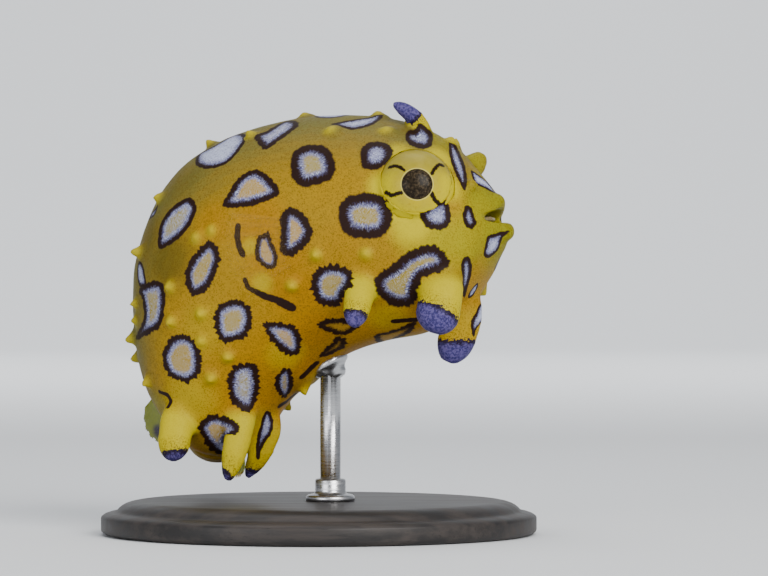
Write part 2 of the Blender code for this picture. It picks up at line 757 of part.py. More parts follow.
def build():
    clear_scene()
    skin = material("skin", SKIN_YELLOW, 0.45)
    lobe_skin = material("lobe_skin", LOBE_YELLOW, 0.45)
    fin_skin = material("fin_membrane", FIN_CLEAR, 0.3)
    eye_gold = material("eye", EYE_GOLD, 0.1)
    ivory = material("beak", BEAK_IVORY, 0.3)
    base_black = material("stand_base", STAND_BLACK, 0.35)
    steel = material("stand_rod", STAND_STEEL, 0.3, 1.0)

    keep_off = [
        (skin_point(lobe["station"], lobe["turn"]), (lobe["width"] / 2 + 0.9) * MM)
        for lobe in LOBES.values()
    ]
    for side in (1, -1):
        keep_off.append((skin_point(EYE_STATION, side * EYE_TURN), EYE_RADIUS + 1.3 * MM))
        keep_off.append((skin_point(NOSTRIL_STATION, side * NOSTRIL_TURN), 1.4 * MM))
    for turn in PECTORAL_TURNS.values():
        keep_off.append((skin_point(PECTORAL_STATION, turn), 2.2 * MM))
    keep_off.append((section(0.0)[0], 4.2 * MM))
    keep_off.append((skin_point(DORSAL_STATION, 0.0), 2.2 * MM))
    keep_off.append((skin_point(ANAL_STATION, 180.0), 1.9 * MM))
    keep_off.append((stalk_curve()[0] + Vector((0.0, 3.0 * MM, -1.0 * MM)), 3.6 * MM))

    body = object_from("body", body_loft(), skin)
    apply_boolean(body, "UNION", spines(keep_off) + lips() + orbit_ridges() + nostrils())
    for cutter in (mouth_slot(), mouth_hollow()):
        cut_with(body, cutter)
    for side in (1, -1):
        cut_with(body, ball(eye_centre(side)[0], EYE_RADIUS))
    part_of(body, "head", None, HEAD_CUT, skin)
    part_of(body, "trunk_front", HEAD_CUT, WAIST_CUT, skin)
    part_of(body, "trunk_rear", WAIST_CUT, REAR_CUT, skin)
    part_of(body, "tail_root", REAR_CUT, None, skin)
    drop(body)
    lobes(lobe_skin)
    eyes(eye_gold)
    beak(ivory)
    tail_stalk(skin)
    tail_fin(fin_skin)
    upright_fins(fin_skin)
    pectoral_fins(fin_skin)
    stand(base_black, steel)


build()
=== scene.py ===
"""The looks of a young burrfish, about 36 mm long, on an oval display stand.

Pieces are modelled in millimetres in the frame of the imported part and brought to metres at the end.
World axes: +X towards the head, +Y away from the viewer, +Z up, origin under the base's middle.
"""

import math
import random

import bmesh
import bpy
from mathutils import Matrix, Vector, noise
from mathutils.bvhtree import BVHTree
from mathutils.kdtree import KDTree


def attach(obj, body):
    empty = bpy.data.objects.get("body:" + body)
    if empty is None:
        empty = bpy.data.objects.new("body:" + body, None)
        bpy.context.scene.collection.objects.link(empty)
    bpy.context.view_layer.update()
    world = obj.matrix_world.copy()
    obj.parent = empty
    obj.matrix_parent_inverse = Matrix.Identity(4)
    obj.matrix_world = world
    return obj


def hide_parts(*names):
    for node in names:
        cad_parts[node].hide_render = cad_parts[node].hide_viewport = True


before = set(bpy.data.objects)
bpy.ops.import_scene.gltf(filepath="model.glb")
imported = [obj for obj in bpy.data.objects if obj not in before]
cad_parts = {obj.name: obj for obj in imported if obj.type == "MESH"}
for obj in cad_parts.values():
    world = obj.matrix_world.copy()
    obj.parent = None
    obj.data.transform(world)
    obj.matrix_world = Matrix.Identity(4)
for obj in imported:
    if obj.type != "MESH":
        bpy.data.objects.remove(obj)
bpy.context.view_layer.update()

# The body's bend lies in an upright plane, turned towards the viewer by YAW, and the fish rolls in it.
YAW = math.radians(17.0)
PLANE_DEPTH = -0.4
SNOUT_ROLL, TAIL_ROLL = 8.0, 28.0
VIEWER_SIDE = Vector((-math.sin(YAW), -math.cos(YAW), 0.0))

# The eye point of the front view and that view's measures: pixels for a millimetre, in the plane y = 0.
SIGHT_FROM = Vector((5.08, -300.0, 19.2))
VIEW_SCALE = 12.8
VIEW_X0, VIEW_Z0 = 319.0, 533.8

# Stations from snout to rear end, in millimetres of the front elevation:
# back line x, z; belly line x, z; half width across the bend plane.
STATIONS = (
    (14.0, 26.2, 14.5, 23.2, 1.15),
    (13.5, 26.7, 14.4, 22.4, 2.0),
    (12.8, 27.6, 13.8, 21.3, 3.2),
    (11.7, 28.8, 13.0, 19.8, 4.7),
    (10.1, 30.5, 11.4, 17.7, 6.1),
    (6.9, 32.1, 8.6, 15.8, 7.0),
    (2.4, 32.7, 5.4, 15.1, 7.5),
    (-2.6, 32.3, 2.8, 14.3, 7.6),
    (-7.9, 30.6, 0.9, 13.2, 7.5),
    (-11.8, 27.4, -0.4, 11.8, 7.2),
    (-14.1, 22.0, -1.8, 10.9, 6.7),
    (-14.4, 16.8, -2.8, 9.8, 6.0),
    (-13.7, 12.2, -3.8, 8.3, 5.2),
    (-12.1, 8.9, -4.8, 7.0, 4.1),
    (-10.3, 6.8, -5.8, 6.2, 2.6),
    (-9.0, 6.1, -6.9, 5.9, 0.9),
)
LAST = len(STATIONS) - 1

EYE_STATION, EYE_TURN = 4.45, 77.0
EYE_RADIUS, EYE_SUNK = 3.0, 1.5
ORBIT_RIDGE = 0.4
PECTORAL_STATION = 7.2
PECTORAL_TURNS = {"pectoral_fin_right": 111.0, "pectoral_fin_left": -100.0}
NOSTRIL_STATION, NOSTRIL_TURN = 2.5, 58.0
DORSAL_STATION, ANAL_STATION = 12.6, 14.0


def smooth_step(values, at):
    """Catmull-Rom value at a fractional place along a list of tuples."""
    index = min(int(at), len(values) - 2)
    part = at - index
    before, start, end, after = (
        values[max(0, min(len(values) - 1, index + step))] for step in (-1, 0, 1, 2)
    )
    return tuple(
        0.5 * (2 * b + (c - a) * part + (2 * a - 5 * b + 4 * c - d) * part**2
               + (3 * b - a - 3 * c + d) * part**3)
        for a, b, c, d in zip(before, start, end, after)
    )


def ease(low, high, value):
    """0 below low, 1 above high and smooth between; low may be the larger."""
    share = max(0.0, min(1.0, (value - low) / (high - low)))
    return share * share * (3 - 2 * share)


def in_plane(x, z):
    return Vector((x, PLANE_DEPTH - x * math.tan(YAW), z))


def seen_at(px, py):
    """The point of the plane y = 0 that a pixel of the front view shows."""
    return Vector(((px - VIEW_X0) / VIEW_SCALE, 0.0, (VIEW_Z0 - py) / VIEW_SCALE))


def on_plane(point):
    """Where the line of sight to a point crosses the plane of the view's centre."""
    sight = point - SIGHT_FROM
    place = SIGHT_FROM + sight * (-SIGHT_FROM.y / sight.y)
    return Vector((place.x, place.z))


def section(station):
    """Middle, half height as a vector to the back, and half width of the body at a station."""
    back_x, back_z, belly_x, belly_z, half_width = smooth_step(STATIONS, station)
    back, belly = in_plane(back_x, back_z), in_plane(belly_x, belly_z)
    return (back + belly) / 2, (back - belly) / 2, half_width


def skin_point(station, turn):
    """Turn is in degrees round the body from the back's middle, positive towards the viewer."""
    middle, up, half_width = section(station)
    roll = SNOUT_ROLL + (TAIL_ROLL - SNOUT_ROLL) * station / LAST
    angle = math.radians(turn - roll)
    return middle + up * math.cos(angle) + VIEWER_SIDE * half_width * math.sin(angle)


def skin_frame(station, turn):
    """A point of the skin with its outward normal and its direction towards the head."""
    point = skin_point(station, turn)
    forward = (skin_point(station - 0.05, turn) - point).normalized()
    around = (skin_point(station, turn + 1.0) - point).normalized()
    normal = around.cross(forward).normalized()
    if normal.dot(point - section(station)[0]) < 0:
        normal.negate()
    return point, normal, forward


def direction_at(station):
    """The body's direction towards the head at a station."""
    _, up, _ = section(station)
    return up.normalized().cross(VIEWER_SIDE).normalized()


# Shapes

def oval(centre, across, rise, sides):
    """Places round an oval, from its middle and its two half widths as vectors."""
    return [centre + across * math.cos(angle) + rise * math.sin(angle)
            for angle in (2 * math.pi * k / sides for k in range(sides))]


def loft(rings):
    """A closed body through rings that all have the same number of points."""
    bm = bmesh.new()
    loops = []
    for ring in rings:
        verts = bmesh.ops.create_circle(bm, segments=len(ring), radius=1.0)["verts"]
        for vert, place in zip(verts, ring):
            vert.co = place
        loops.append(list({edge for vert in verts for edge in vert.link_edges}))
    for first, second in zip(loops, loops[1:]):
        bmesh.ops.bridge_loops(bm, edges=first + second)
    for rim in (loops[0], loops[-1]):
        caps = bmesh.ops.edgeloop_fill(bm, edges=rim)["faces"]
        bmesh.ops.poke(bm, faces=caps)
    bmesh.ops.recalc_face_normals(bm, faces=bm.faces[:])
    return bm


def turned(profile, sides):
    """A closed turned shape round +Z, from (radius, height) pairs."""
    return loft([
        [Vector((radius * math.cos(angle), radius * math.sin(angle), height))
         for angle in (2 * math.pi * k / sides for k in range(sides))]
        for radius, height in profile
    ])


def stand_on(bm, place, axis):
    """Turns a shape made round +Z to an axis and moves it to its place."""
    turn = axis.to_track_quat("Z", "Y").to_matrix().to_4x4()
    bmesh.ops.transform(bm, matrix=Matrix.Translation(place) @ turn, verts=bm.verts[:])
    return bm


def ball(centre, radius, segments, rings):
    bm = bmesh.new()
    bmesh.ops.create_uvsphere(bm, u_segments=segments, v_segments=rings, radius=radius)
    bmesh.ops.translate(bm, vec=centre, verts=bm.verts[:])
    return bm


def mesh_of(name, bm):
    """A mesh from a bmesh, which is used up."""
    mesh = bpy.data.meshes.new(name)
    bm.to_mesh(mesh)
    bm.free()
    return mesh


def tree_of(bm):
    """A tree for finding places on a bmesh, which is used up."""
    tree = BVHTree.FromBMesh(bm)
    bm.free()
    return tree


def add_to(bm, other):
    """Adds another bmesh, which is used up."""
    mesh = mesh_of("added", other)
    bm.from_mesh(mesh)
    bpy.data.meshes.remove(mesh)


def in_scene(name, data):
    obj = bpy.data.objects.new(name, data)
    bpy.context.scene.collection.objects.link(obj)
    return obj


def loose_object(name, bm):
    """An object for work in between, used up before the scene is finished."""
    bmesh.ops.triangulate(bm, faces=bm.faces[:])
    return in_scene(name, mesh_of(name, bm))


def drop(obj):
    mesh = obj.data
    bpy.data.objects.remove(obj)
    bpy.data.meshes.remove(mesh)


def settle(obj):
    """Applies the object's modifiers to its mesh."""
    graph = bpy.context.evaluated_depsgraph_get()
    made = bpy.data.meshes.new_from_object(obj.evaluated_get(graph))
    old = obj.data
    obj.modifiers.clear()
    obj.data = made
    bpy.data.meshes.remove(old)


def combine(target, operation, operands):
    """Unites target with other closed objects or cuts them from it; they are used up."""
    group = bpy.data.collections.new("operands")
    for obj in operands:
        group.objects.link(obj)
    modifier = target.modifiers.new("combine", "BOOLEAN")
    modifier.operation = operation
    modifier.operand_type = "COLLECTION"
    modifier.collection = group
    modifier.solver = "MANIFOLD"
    settle(target)
    bpy.data.collections.remove(group)
    for obj in operands:
        drop(obj)


MM_TO_M = 0.001


def finish_piece(name, bm, finishes, nodes):
    """Brings a shape to metres and puts it in the scene as a piece that stands for CAD nodes."""
    bmesh.ops.scale(bm, vec=(MM_TO_M, MM_TO_M, MM_TO_M), verts=bm.verts[:])
    for face in bm.faces:
        face.smooth = True
    mesh = mesh_of(name, bm)
    mesh.materials.clear()
    for made in finishes:
        mesh.materials.append(made)
    piece = in_scene(name, mesh)
    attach(piece, "root")
    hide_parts(*nodes)
    return piece


def keep_values(mesh, **values):
    """Writes one number for each vertex to the mesh's attributes."""
    for name, numbers in values.items():
        mesh.attributes.new(name, "FLOAT", "POINT").data.foreach_set("value", numbers)


# The finishes' node trees

def srgb(red, green, blue):
    """A screen colour, 0 to 255 a channel, as the shader's linear colour."""
    return tuple(
        channel / 3294.6 if channel <= 10 else ((channel / 255 + 0.055) / 1.055) ** 2.4
        for channel in (red, green, blue)
    ) + (1.0,)


class Finish:
    """A material with one Principled shader and short ways to add nodes before it."""

    def __init__(self, name, **sockets):
        self.material = bpy.data.materials.new(name)
        self.material.use_nodes = True
        self.tree = self.material.node_tree
        self.shader = self.tree.nodes["Principled BSDF"]
        for socket, value in sockets.items():
            self.shader.inputs[socket.replace("_", " ")].default_value = value

    def set(self, socket, value):
        """Joins an output to a node's input, or sets the input where value is a plain one."""
        if isinstance(value, bpy.types.NodeSocket):
            self.tree.links.new(value, socket)
        else:
            socket.default_value = value

    def node(self, kind, output=0, inputs=(), **settings):
        made = self.tree.nodes.new(kind)
        for key, value in settings.items():
            setattr(made, key, value)
        for key, value in dict(inputs).items():
            self.set(made.inputs[key], value)
        return made.outputs[output]

    def place(self):
        return self.node("ShaderNodeTexCoord", "Object")

    def attribute(self, name, output="Fac"):
        return self.node("ShaderNodeAttribute", output, attribute_name=name)

    def channels(self, name):
        """The three numbers of a colour attribute."""
        parts = self.node("ShaderNodeSeparateColor", 0, {0: self.attribute(name, "Color")}).node
        return parts.outputs[0], parts.outputs[1], parts.outputs[2]

    def noise(self, vector, scale, detail=2.0, roughness=0.5):
        return self.node("ShaderNodeTexNoise", "Fac", {
            "Vector": vector, "Scale": scale, "Detail": detail, "Roughness": roughness})

    def cells(self, vector, scale):
        """Distance to the nearest of many scattered points."""
        return self.node("ShaderNodeTexVoronoi", "Distance", {"Vector": vector, "Scale": scale})

    def stretched(self, scale):
        """The place with each axis scaled by its own number."""
        return self.node("ShaderNodeMapping", 0, {"Vector": self.place(), "Scale": scale})

    def times(self, first, second):
        return self.math("MULTIPLY", first, second)

    def plus(self, first, second):
        return self.math("ADD", first, second)

    def about(self, value, reach):
        """A noise's 0 to 1 made a shift of half of reach both ways."""
        return self.math("MULTIPLY_ADD", value, reach, -reach / 2)

    def math(self, operation, first, second=0.0, third=0.0):
        return self.node("ShaderNodeMath", 0, {0: first, 1: second, 2: third},
                         operation=operation)

    def ease(self, value, low, high, to_low=0.0, to_high=1.0):
        """value taken from low..high to a new span, smoothly; the ends hold beyond it."""
        return self.node("ShaderNodeMapRange", 0, {
            "Value": value, "From Min": low, "From Max": high,
            "To Min": to_low, "To Max": to_high}, interpolation_type="SMOOTHSTEP")

    def mix(self, share, first, second, blend="MIX"):
        made = self.tree.nodes.new("ShaderNodeMix")
        made.data_type = "RGBA"
        made.blend_type = blend
        made.clamp_factor = True
        for socket, value in ((0, share), (6, first), (7, second)):
            self.set(made.inputs[socket], value)
        return made.outputs[2]

    def bump(self, height, strength, distance):
        """Raises the surface by height; distance is in metres."""
        normal = self.node("ShaderNodeBump", 0, {
            "Height": height, "Strength": strength, "Distance": distance})
        self.set(self.shader.inputs["Normal"], normal)

    def colour(self, value):
        self.set(self.shader.inputs["Base Color"], value)

    def rough(self, value):
        self.set(self.shader.inputs["Roughness"], value)


# The skin's colours, as the shader's linear ones.
GOLD = (0.30, 0.178, 0.006, 1.0)
OLIVE = (0.122, 0.112, 0.022, 1.0)
# Painted shade: a darker olive laid on the rear flank, where less of the light from the right falls.
PAINTED_SHADE = (0.080, 0.066, 0.006, 1.0)
ORANGE = (0.32, 0.150, 0.0, 1.0)
BRIGHT = (0.45, 0.372, 0.0, 1.0)
GREENISH = (0.20, 0.19, 0.004, 1.0)
FRECKLE = (0.085, 0.045, 0.0, 1.0)
SPINE_PALE = (0.44, 0.36, 0.005, 1.0)
RING_DARK = (0.015, 0.006, 0.004, 1.0)
RIM_WHITE = (0.50, 0.54, 0.69, 1.0)
RIM_VIOLET = (0.070, 0.066, 0.175, 1.0)
CORE_TAN = (0.31, 0.19, 0.030, 1.0)
CORE_OLIVE = (0.23, 0.18, 0.012, 1.0)
TIP_BLUE = (0.026, 0.022, 0.098, 1.0)
TIP_LILAC = (0.088, 0.070, 0.205, 1.0)
TIP_EDGE = (0.010, 0.005, 0.018, 1.0)

# How fine the skin's patterns are: on it by the metre, and in a mark by the millimetre.
CLOUDS, RELIEF, FRECKLE_PATCHES, GRAIN, FRECKLES = 260.0, 1300.0, 2500.0, 5600.0, 7400.0
TEETH, STREAKS, HAIRS = 3.0, 12.0, 24.0
FRECKLE_STRENGTH = 0.58
SKIN_BUMP = 0.00006


def ground_colour(skin, place, grain):
    """Gold with an olive back, orange and lemon zones, painted shade on the rear flank, pale spines and
    fine brown freckles.
    """
    back, orange, bright = skin.channels("zones")
    base = skin.mix(back, GOLD, OLIVE)
    # Painted shade: the zones' fourth share darkens the rear flank.
    base = skin.mix(skin.attribute("zones", "Alpha"), base, PAINTED_SHADE)
    base = skin.mix(skin.attribute("green"), base, GREENISH)
    base = skin.mix(orange, base, ORANGE)
    clouds = skin.noise(place, CLOUDS, 4.0, 0.6)
    base = skin.mix(skin.ease(clouds, 0.35, 0.7, 0.0, 0.3), base, skin.mix(0.5, base, ORANGE))
    spine = skin.attribute("spine")
    base = skin.mix(skin.times(spine, 0.65), base, SPINE_PALE)
    base = skin.mix(bright, base, BRIGHT)
    freckle = skin.times(skin.ease(skin.cells(place, FRECKLES), 0.50, 0.24),
                         skin.ease(skin.noise(place, FRECKLE_PATCHES), 0.28, 0.52))
    shown = skin.math("SUBTRACT", FRECKLE_STRENGTH, skin.times(bright, 0.5))
    shown = skin.times(shown, skin.math("SUBTRACT", 1.0, skin.times(spine, 0.8)))
    near_tip = skin.ease(skin.attribute("tip"), -1.4, -0.1, 0.0, 0.75)
    shown = skin.math("MAXIMUM", shown, near_tip)
    base = skin.mix(skin.times(freckle, shown), base, FRECKLE)
    return skin.mix(skin.times(skin.ease(grain, 0.35, 0.7, 0.0, 0.45), shown), base, FRECKLE)


def marks_over(skin, base, speckle):
    """Dark rings with ragged edges round white rims of fine hairs and tan or olive cores."""
    depth = skin.attribute("mark")
    warm, tooth, bare = skin.channels("mark_trim")
    foot = skin.attribute("mark_foot", "Vector")
    along = skin.node("ShaderNodeCombineXYZ", 0, {2: skin.times(depth, 0.16)})
    hair = skin.node("ShaderNodeVectorMath", 0, {0: foot, 1: along}, operation="ADD")
    streaks = skin.noise(hair, STREAKS, 2.0, 0.6)
    hairs = skin.noise(hair, HAIRS, 1.0, 0.5)
    bite = skin.times(skin.math("SUBTRACT", skin.noise(foot, TEETH, 1.5, 0.6), 0.5),
                      skin.times(tooth, 2.0))
    outer = skin.plus(skin.plus(depth, bite), skin.about(speckle, 0.24))
    inner = skin.plus(skin.plus(depth, skin.about(streaks, 1.3)), skin.about(speckle, 0.6))
    ring = skin.ease(outer, 0.14, -0.14)
    rim = skin.ease(inner, -0.75, -1.40)
    violet = skin.times(skin.ease(hairs, 0.66, 0.46), skin.ease(depth, -2.8, -1.2, 0.35, 1.0))
    rim_colour = skin.mix(skin.ease(speckle, 0.50, 0.68, 0.0, 0.55), RIM_WHITE, RIM_VIOLET)
    rim_colour = skin.mix(violet, rim_colour, RIM_VIOLET)
    core = skin.plus(skin.plus(warm, skin.about(streaks, 1.3)), skin.about(speckle, 1.0))
    core_colour = skin.mix(skin.attribute("mark_trim", "Alpha"), CORE_OLIVE, CORE_TAN)
    core_colour = skin.mix(skin.ease(hairs, 0.60, 0.48, 0.3, 0.0), core_colour, RIM_WHITE)
    inside = skin.mix(skin.ease(core, 0.15, 0.75), rim_colour, core_colour)
    inside = skin.mix(bare, inside, skin.mix(0.35, base, CORE_TAN))
    return skin.mix(skin.times(rim, ring), skin.mix(ring, base, RING_DARK), inside)


def tips_over(skin, base, speckle):
    """Mottled blue lobe tips with a ragged dark edge."""
    tip = skin.plus(skin.attribute("tip"), skin.about(speckle, 0.5))
    tip_colour = skin.mix(skin.ease(speckle, 0.38, 0.62), TIP_BLUE, TIP_LILAC)
    tip_colour = skin.mix(skin.ease(tip, 0.50, 0.10), tip_colour, TIP_EDGE)
    return skin.mix(skin.ease(tip, -0.06, 0.06), base, tip_colour)


def skin_finish():
    skin = Finish("burrfish_skin", Subsurface_Weight=0.06, Subsurface_Scale=0.0005,
                  Subsurface_Radius=(1.0, 0.5, 0.15), Specular_IOR_Level=0.09)
    place = skin.place()
    grain = skin.noise(place, GRAIN, 3.0, 0.65)
    speckle = skin.noise(place, GRAIN, 2.0, 0.7)
    base = ground_colour(skin, place, grain)
    base = marks_over(skin, base, speckle)
    skin.colour(tips_over(skin, base, speckle))
    skin.rough(skin.ease(grain, 0.2, 0.8, 0.46, 0.62))
    relief = skin.plus(skin.times(grain, 0.5), skin.times(skin.noise(place, RELIEF, 2.0), 0.6))
    skin.bump(relief, 0.35, SKIN_BUMP)
    return skin.material


# Spines, lobes and the other forms of the skin

SPINE_SIDES = 14
SPINE_ROOT, SPINE_RADIUS, SPINE_HEIGHT, SPINE_LEAN = 0.45, 0.68, 0.72, 0.3
# A spine above the skin, in shares of its radius and height.
SPINE_TAPER = ((0.74, 0.20), (0.57, 0.42), (0.46, 0.64), (0.36, 0.82), (0.22, 0.95), (0.08, 1.0))

# Places, in millimetres of the front elevation, of the spines on the side that is seen, and the
# breadth and height of each as shares of a usual one.
SEEN_SPINES = (
    (-0.2, 21.8, 1.0, 0.8), (3.7, 21.9, 1.0, 0.8), (-11.6, 19.3, 1.0, 0.9), (-11.5, 16.6, 1.0, 0.9),
    (-9.2, 17.2, 1.0, 0.8), (-9.2, 15.0, 0.9, 0.6), (-7.1, 13.8, 1.0, 0.8), (-8.4, 12.2, 1.0, 0.9),
    (-10.7, 10.8, 1.1, 0.8), (-7.7, 10.1, 1.0, 0.7), (-13.3, 11.9, 1.0, 1.0), (-14.4, 15.3, 1.1, 1.2),
    (-14.3, 13.8, 1.3, 1.5), (-13.9, 22.0, 1.1, 1.35), (-14.3, 18.0, 0.8, 0.9), (-14.3, 16.7, 0.8, 0.8),
    (-12.4, 26.2, 1.0, 0.9), (-8.5, 30.5, 1.1, 1.2), (-5.3, 31.1, 0.9, 0.9), (-1.1, 32.6, 1.2, 0.7),
    (4.6, 32.6, 1.3, 0.7), (0.9, 31.5, 1.2, 0.5), (5.2, 31.5, 1.2, 0.5), (-9.6, 23.1, 1.0, 0.5),
    (-8.4, 23.7, 0.9, 0.5), (-2.1, 19.4, 1.0, 0.8), (9.6, 31.6, 1.2, 0.7), (-1.2, 11.4, 1.0, 1.0),
    (10.6, 31.0, 1.2, 0.8),
)
FAR_ROW_STATIONS = (3.9, 5.0, 6.1, 7.1, 8.0, 8.8, 9.6, 10.4, 11.1, 11.9, 12.7)
FAR_SPACING = 3.4
FAR_TURNS = (-150.0, 8.0)
SPINE_SEED = 7

# How far spines keep clear of one another and of other forms, in millimetres.
SPINE_CLEARANCE = 1.8
CLEAR_OF_LOBE, CLEAR_OF_EYE, CLEAR_OF_SPOT = 0.9, 1.3, 0.35
CLEAR_OF_MOUTH, CLEAR_OF_NOSTRIL, CLEAR_OF_PECTORAL = 4.2, 1.4, 2.2
CLEAR_OF_DORSAL, CLEAR_OF_ANAL, CLEAR_OF_STALK = 2.2, 1.9, 3.6
STALK_INWARD = Vector((0.0, 3.0, -1.0))

# Width is across the lobe and thickness through it; end is the tip's share of the width.
# Reach is how far the lobe first stands out from the skin before it bends to its tip.
# Blue is the share of its length where the tip's colour starts, slanting across by slant, and
# bright how yellow the rest is.
LOBES = {
    "brow_lobe_right": dict(station=4.6, turn=24.0, tip=(-2.3, -1.0, 2.0), width=1.6,
                            thickness=1.5, reach=1.0, end=0.75, blue=0.42, slant=0.0),
    "brow_lobe_left": dict(station=3.75, turn=-28.0, tip=(0.75, 0.9, 0.4), width=2.2,
                           thickness=1.7, reach=1.0, end=0.9, blue=0.85, slant=0.0, bright=0.25),
    "chin_lobe_right": dict(station=4.2, turn=147.0, tip=(-0.6, -1.6, -3.6), width=3.6,
                            thickness=2.7, reach=1.6, end=0.95, blue=0.62, slant=-0.22),
    "chin_lobe_left": dict(station=4.1, turn=-168.0, tip=(-1.2, -0.2, -4.0), width=3.3,
                           thickness=2.5, reach=1.0, end=0.9, blue=0.68, slant=0.3, bright=0.3),
    "belly_lobe_right": dict(station=5.85, turn=138.0, tip=(-0.6, -2.6, -3.0), width=2.75,
                             thickness=2.4, reach=1.7, end=0.65, blue=0.76, slant=0.0),
    "belly_lobe_left": dict(station=5.9, turn=-126.0, tip=(0.3, 2.9, -0.6), width=2.8,
                            thickness=2.2, reach=1.6, end=0.75, blue=0.72, slant=0.1),
    "flank_lobe_right": dict(station=12.6, turn=103.0, tip=(-0.4, -1.6, -3.2), width=3.1,
                             thickness=2.2, reach=1.2, end=0.8, blue=0.85, slant=0.1, bright=0.9),
    "flank_lobe_left": dict(station=11.9, turn=-80.0, tip=(-1.2, 2.6, 0.0), width=2.9,
                            thickness=2.0, reach=1.6, end=0.75, blue=0.76, slant=0.0),
    "vent_lobe_right": dict(station=11.8, turn=161.0, tip=(-1.0, -1.2, -4.9), width=2.7,
                            thickness=2.0, reach=1.0, end=0.65, blue=0.92, slant=-0.35, bright=0.9),
    "vent_lobe_left": dict(station=12.0, turn=-163.0, tip=(-1.7, 0.5, -4.0), width=2.5,
                           thickness=1.6, reach=0.9, end=0.6, blue=0.86, slant=0.3, bright=0.6),
}
ROOT_DEPTH = 1.2
DOME_START = 0.68
LOBE_LEAN = 0.9
LOBE_FACING = Vector((0.0, 1.0, 0.25))
LOBE_SIDES, LOBE_STEPS = 28, 16


def bezier(points, at):
    """Place and direction on a curve with three control points."""
    start, bend, end = points
    place = start * (1 - at) ** 2 + bend * 2 * at * (1 - at) + end * at**2
    direction = (bend - start) * (1 - at) + (end - bend) * at
    return place, direction.normalized()


def lobe_width_share(at, end):
    """A lobe's width along its length, 1 at the root: a slow taper and then a round end."""
    taper = 1.0 + (end - 1.0) * at
    dome = math.sqrt(1.0 - max(0.0, (at - DOME_START) / (1.02 - DOME_START)) ** 2)
    return taper * dome


def lobe_curve(lobe):
    """The lobe's three control points and the direction in which it leaves the skin."""
    root, normal, _ = skin_frame(lobe["station"], lobe["turn"])
    tip = Vector(lobe["tip"])
    start = (normal + tip.normalized() * LOBE_LEAN).normalized()
    return (root, root + start * lobe["reach"], root + tip), start


def lobe_ring(lobe, step):
    """Middle, across and through radius vectors of the lobe at a step of its length."""
    curve, start = lobe_curve(lobe)
    at = math.sin(math.pi / 2 * max(step, 0) / LOBE_STEPS)
    if step < 0:
        place, direction = curve[0] - start * ROOT_DEPTH, start
    else:
        place, direction = bezier(curve, at)
    across = direction.cross(LOBE_FACING).normalized()
    through = across.cross(direction).normalized()
    share = lobe_width_share(at, lobe["end"])
    return place, across * lobe["width"] / 2 * share, through * lobe["thickness"] / 2 * share, at


def lobe_shape(lobe):
    rings = []
    for step in range(-1, LOBE_STEPS + 1):
        place, across, through, _ = lobe_ring(lobe, step)
        rings.append(oval(place, across, through, LOBE_SIDES))
    return loft(rings)


BODY_RINGS, BODY_POINTS = 6, 88


def body_shape():
    rings = []
    for step in range(LAST * BODY_RINGS + 1):
        station = step / BODY_RINGS
        turns = (360.0 * k / BODY_POINTS for k in range(BODY_POINTS))
        rings.append([skin_point(station, turn) for turn in turns])
    return loft(rings)


def forward_near(point):
    """The body's direction towards the head at the section nearest to a point."""
    steps = (step / 2 for step in range(1, 2 * LAST))
    return direction_at(min(steps, key=lambda station: (section(station)[0] - point).length))


def seen_on(skin, px, py):
    """Where a pixel of the front view meets the body, or the nearest skin to its line of sight."""
    sight = (seen_at(px, py) - SIGHT_FROM).normalized()
    place, normal, _, _ = skin.ray_cast(SIGHT_FROM, sight)
    if place is None:
        depth = (section(LAST / 2)[0] - SIGHT_FROM).length
        place, normal, _, _ = skin.find_nearest(SIGHT_FROM + sight * depth)
    return place, normal


def spine_roots(skin, keep_off):
    """Place, normal, breadth and height of all the spines, clear of the other pieces."""
    found = []
    for x, z, breadth, height in SEEN_SPINES:
        sight = Vector((x, 0.0, z)) - SIGHT_FROM
        place, normal, _, _ = skin.ray_cast(SIGHT_FROM, sight.normalized())
        if place is None:
            place, normal, _, _ = skin.find_nearest(in_plane(x, z))
        found.append((place, normal, breadth, height))
    chance = random.Random(SPINE_SEED)
    low, high = FAR_TURNS
    for station in FAR_ROW_STATIONS:
        _, up, half_width = section(station)
        girth = math.pi * (up.length + half_width) * (high - low) / 360.0
        count = max(3, round(girth / FAR_SPACING))
        for k in range(count):
            turn = low + (high - low) * (k + chance.uniform(0.3, 0.7)) / count
            place, normal, _ = skin_frame(station + chance.uniform(-0.2, 0.2), turn)
            found.append((place, normal, chance.uniform(0.92, 1.1), chance.uniform(0.85, 1.1)))
    kept = []
    for number, (place, normal, breadth, height) in enumerate(found):
        near = any((place - spot).length < reach for spot, reach in keep_off)
        close = number >= len(SEEN_SPINES) and any(
            (place - other[0]).length < SPINE_CLEARANCE for other in kept)
        if not (near or close):
            kept.append((place, normal, breadth, height))
    return kept


def keep_off_places():
    """Middles and radii of the places where no spine grows."""
    found = [(skin_point(lobe["station"], lobe["turn"]), lobe["width"] / 2 + CLEAR_OF_LOBE)
             for lobe in LOBES.values()]
    for side in (1, -1):
        found.append((skin_point(EYE_STATION, side * EYE_TURN), EYE_RADIUS + CLEAR_OF_EYE))
        found.append((skin_point(NOSTRIL_STATION, side * NOSTRIL_TURN), CLEAR_OF_NOSTRIL))
    found += [(skin_point(PECTORAL_STATION, turn), CLEAR_OF_PECTORAL)
              for turn in PECTORAL_TURNS.values()]
    found += [(skin_point(station, turn), (along + around) / 2 + CLEAR_OF_SPOT)
              for station, turn, along, around, _, _, _ in ROUND_MARKS]
    found += [
        (section(0.0)[0], CLEAR_OF_MOUTH),
        (skin_point(DORSAL_STATION, 0.0), CLEAR_OF_DORSAL),
        (skin_point(ANAL_STATION, 180.0), CLEAR_OF_ANAL),
        (Vector(STALK[0]) + STALK_INWARD, CLEAR_OF_STALK),
    ]
    return found


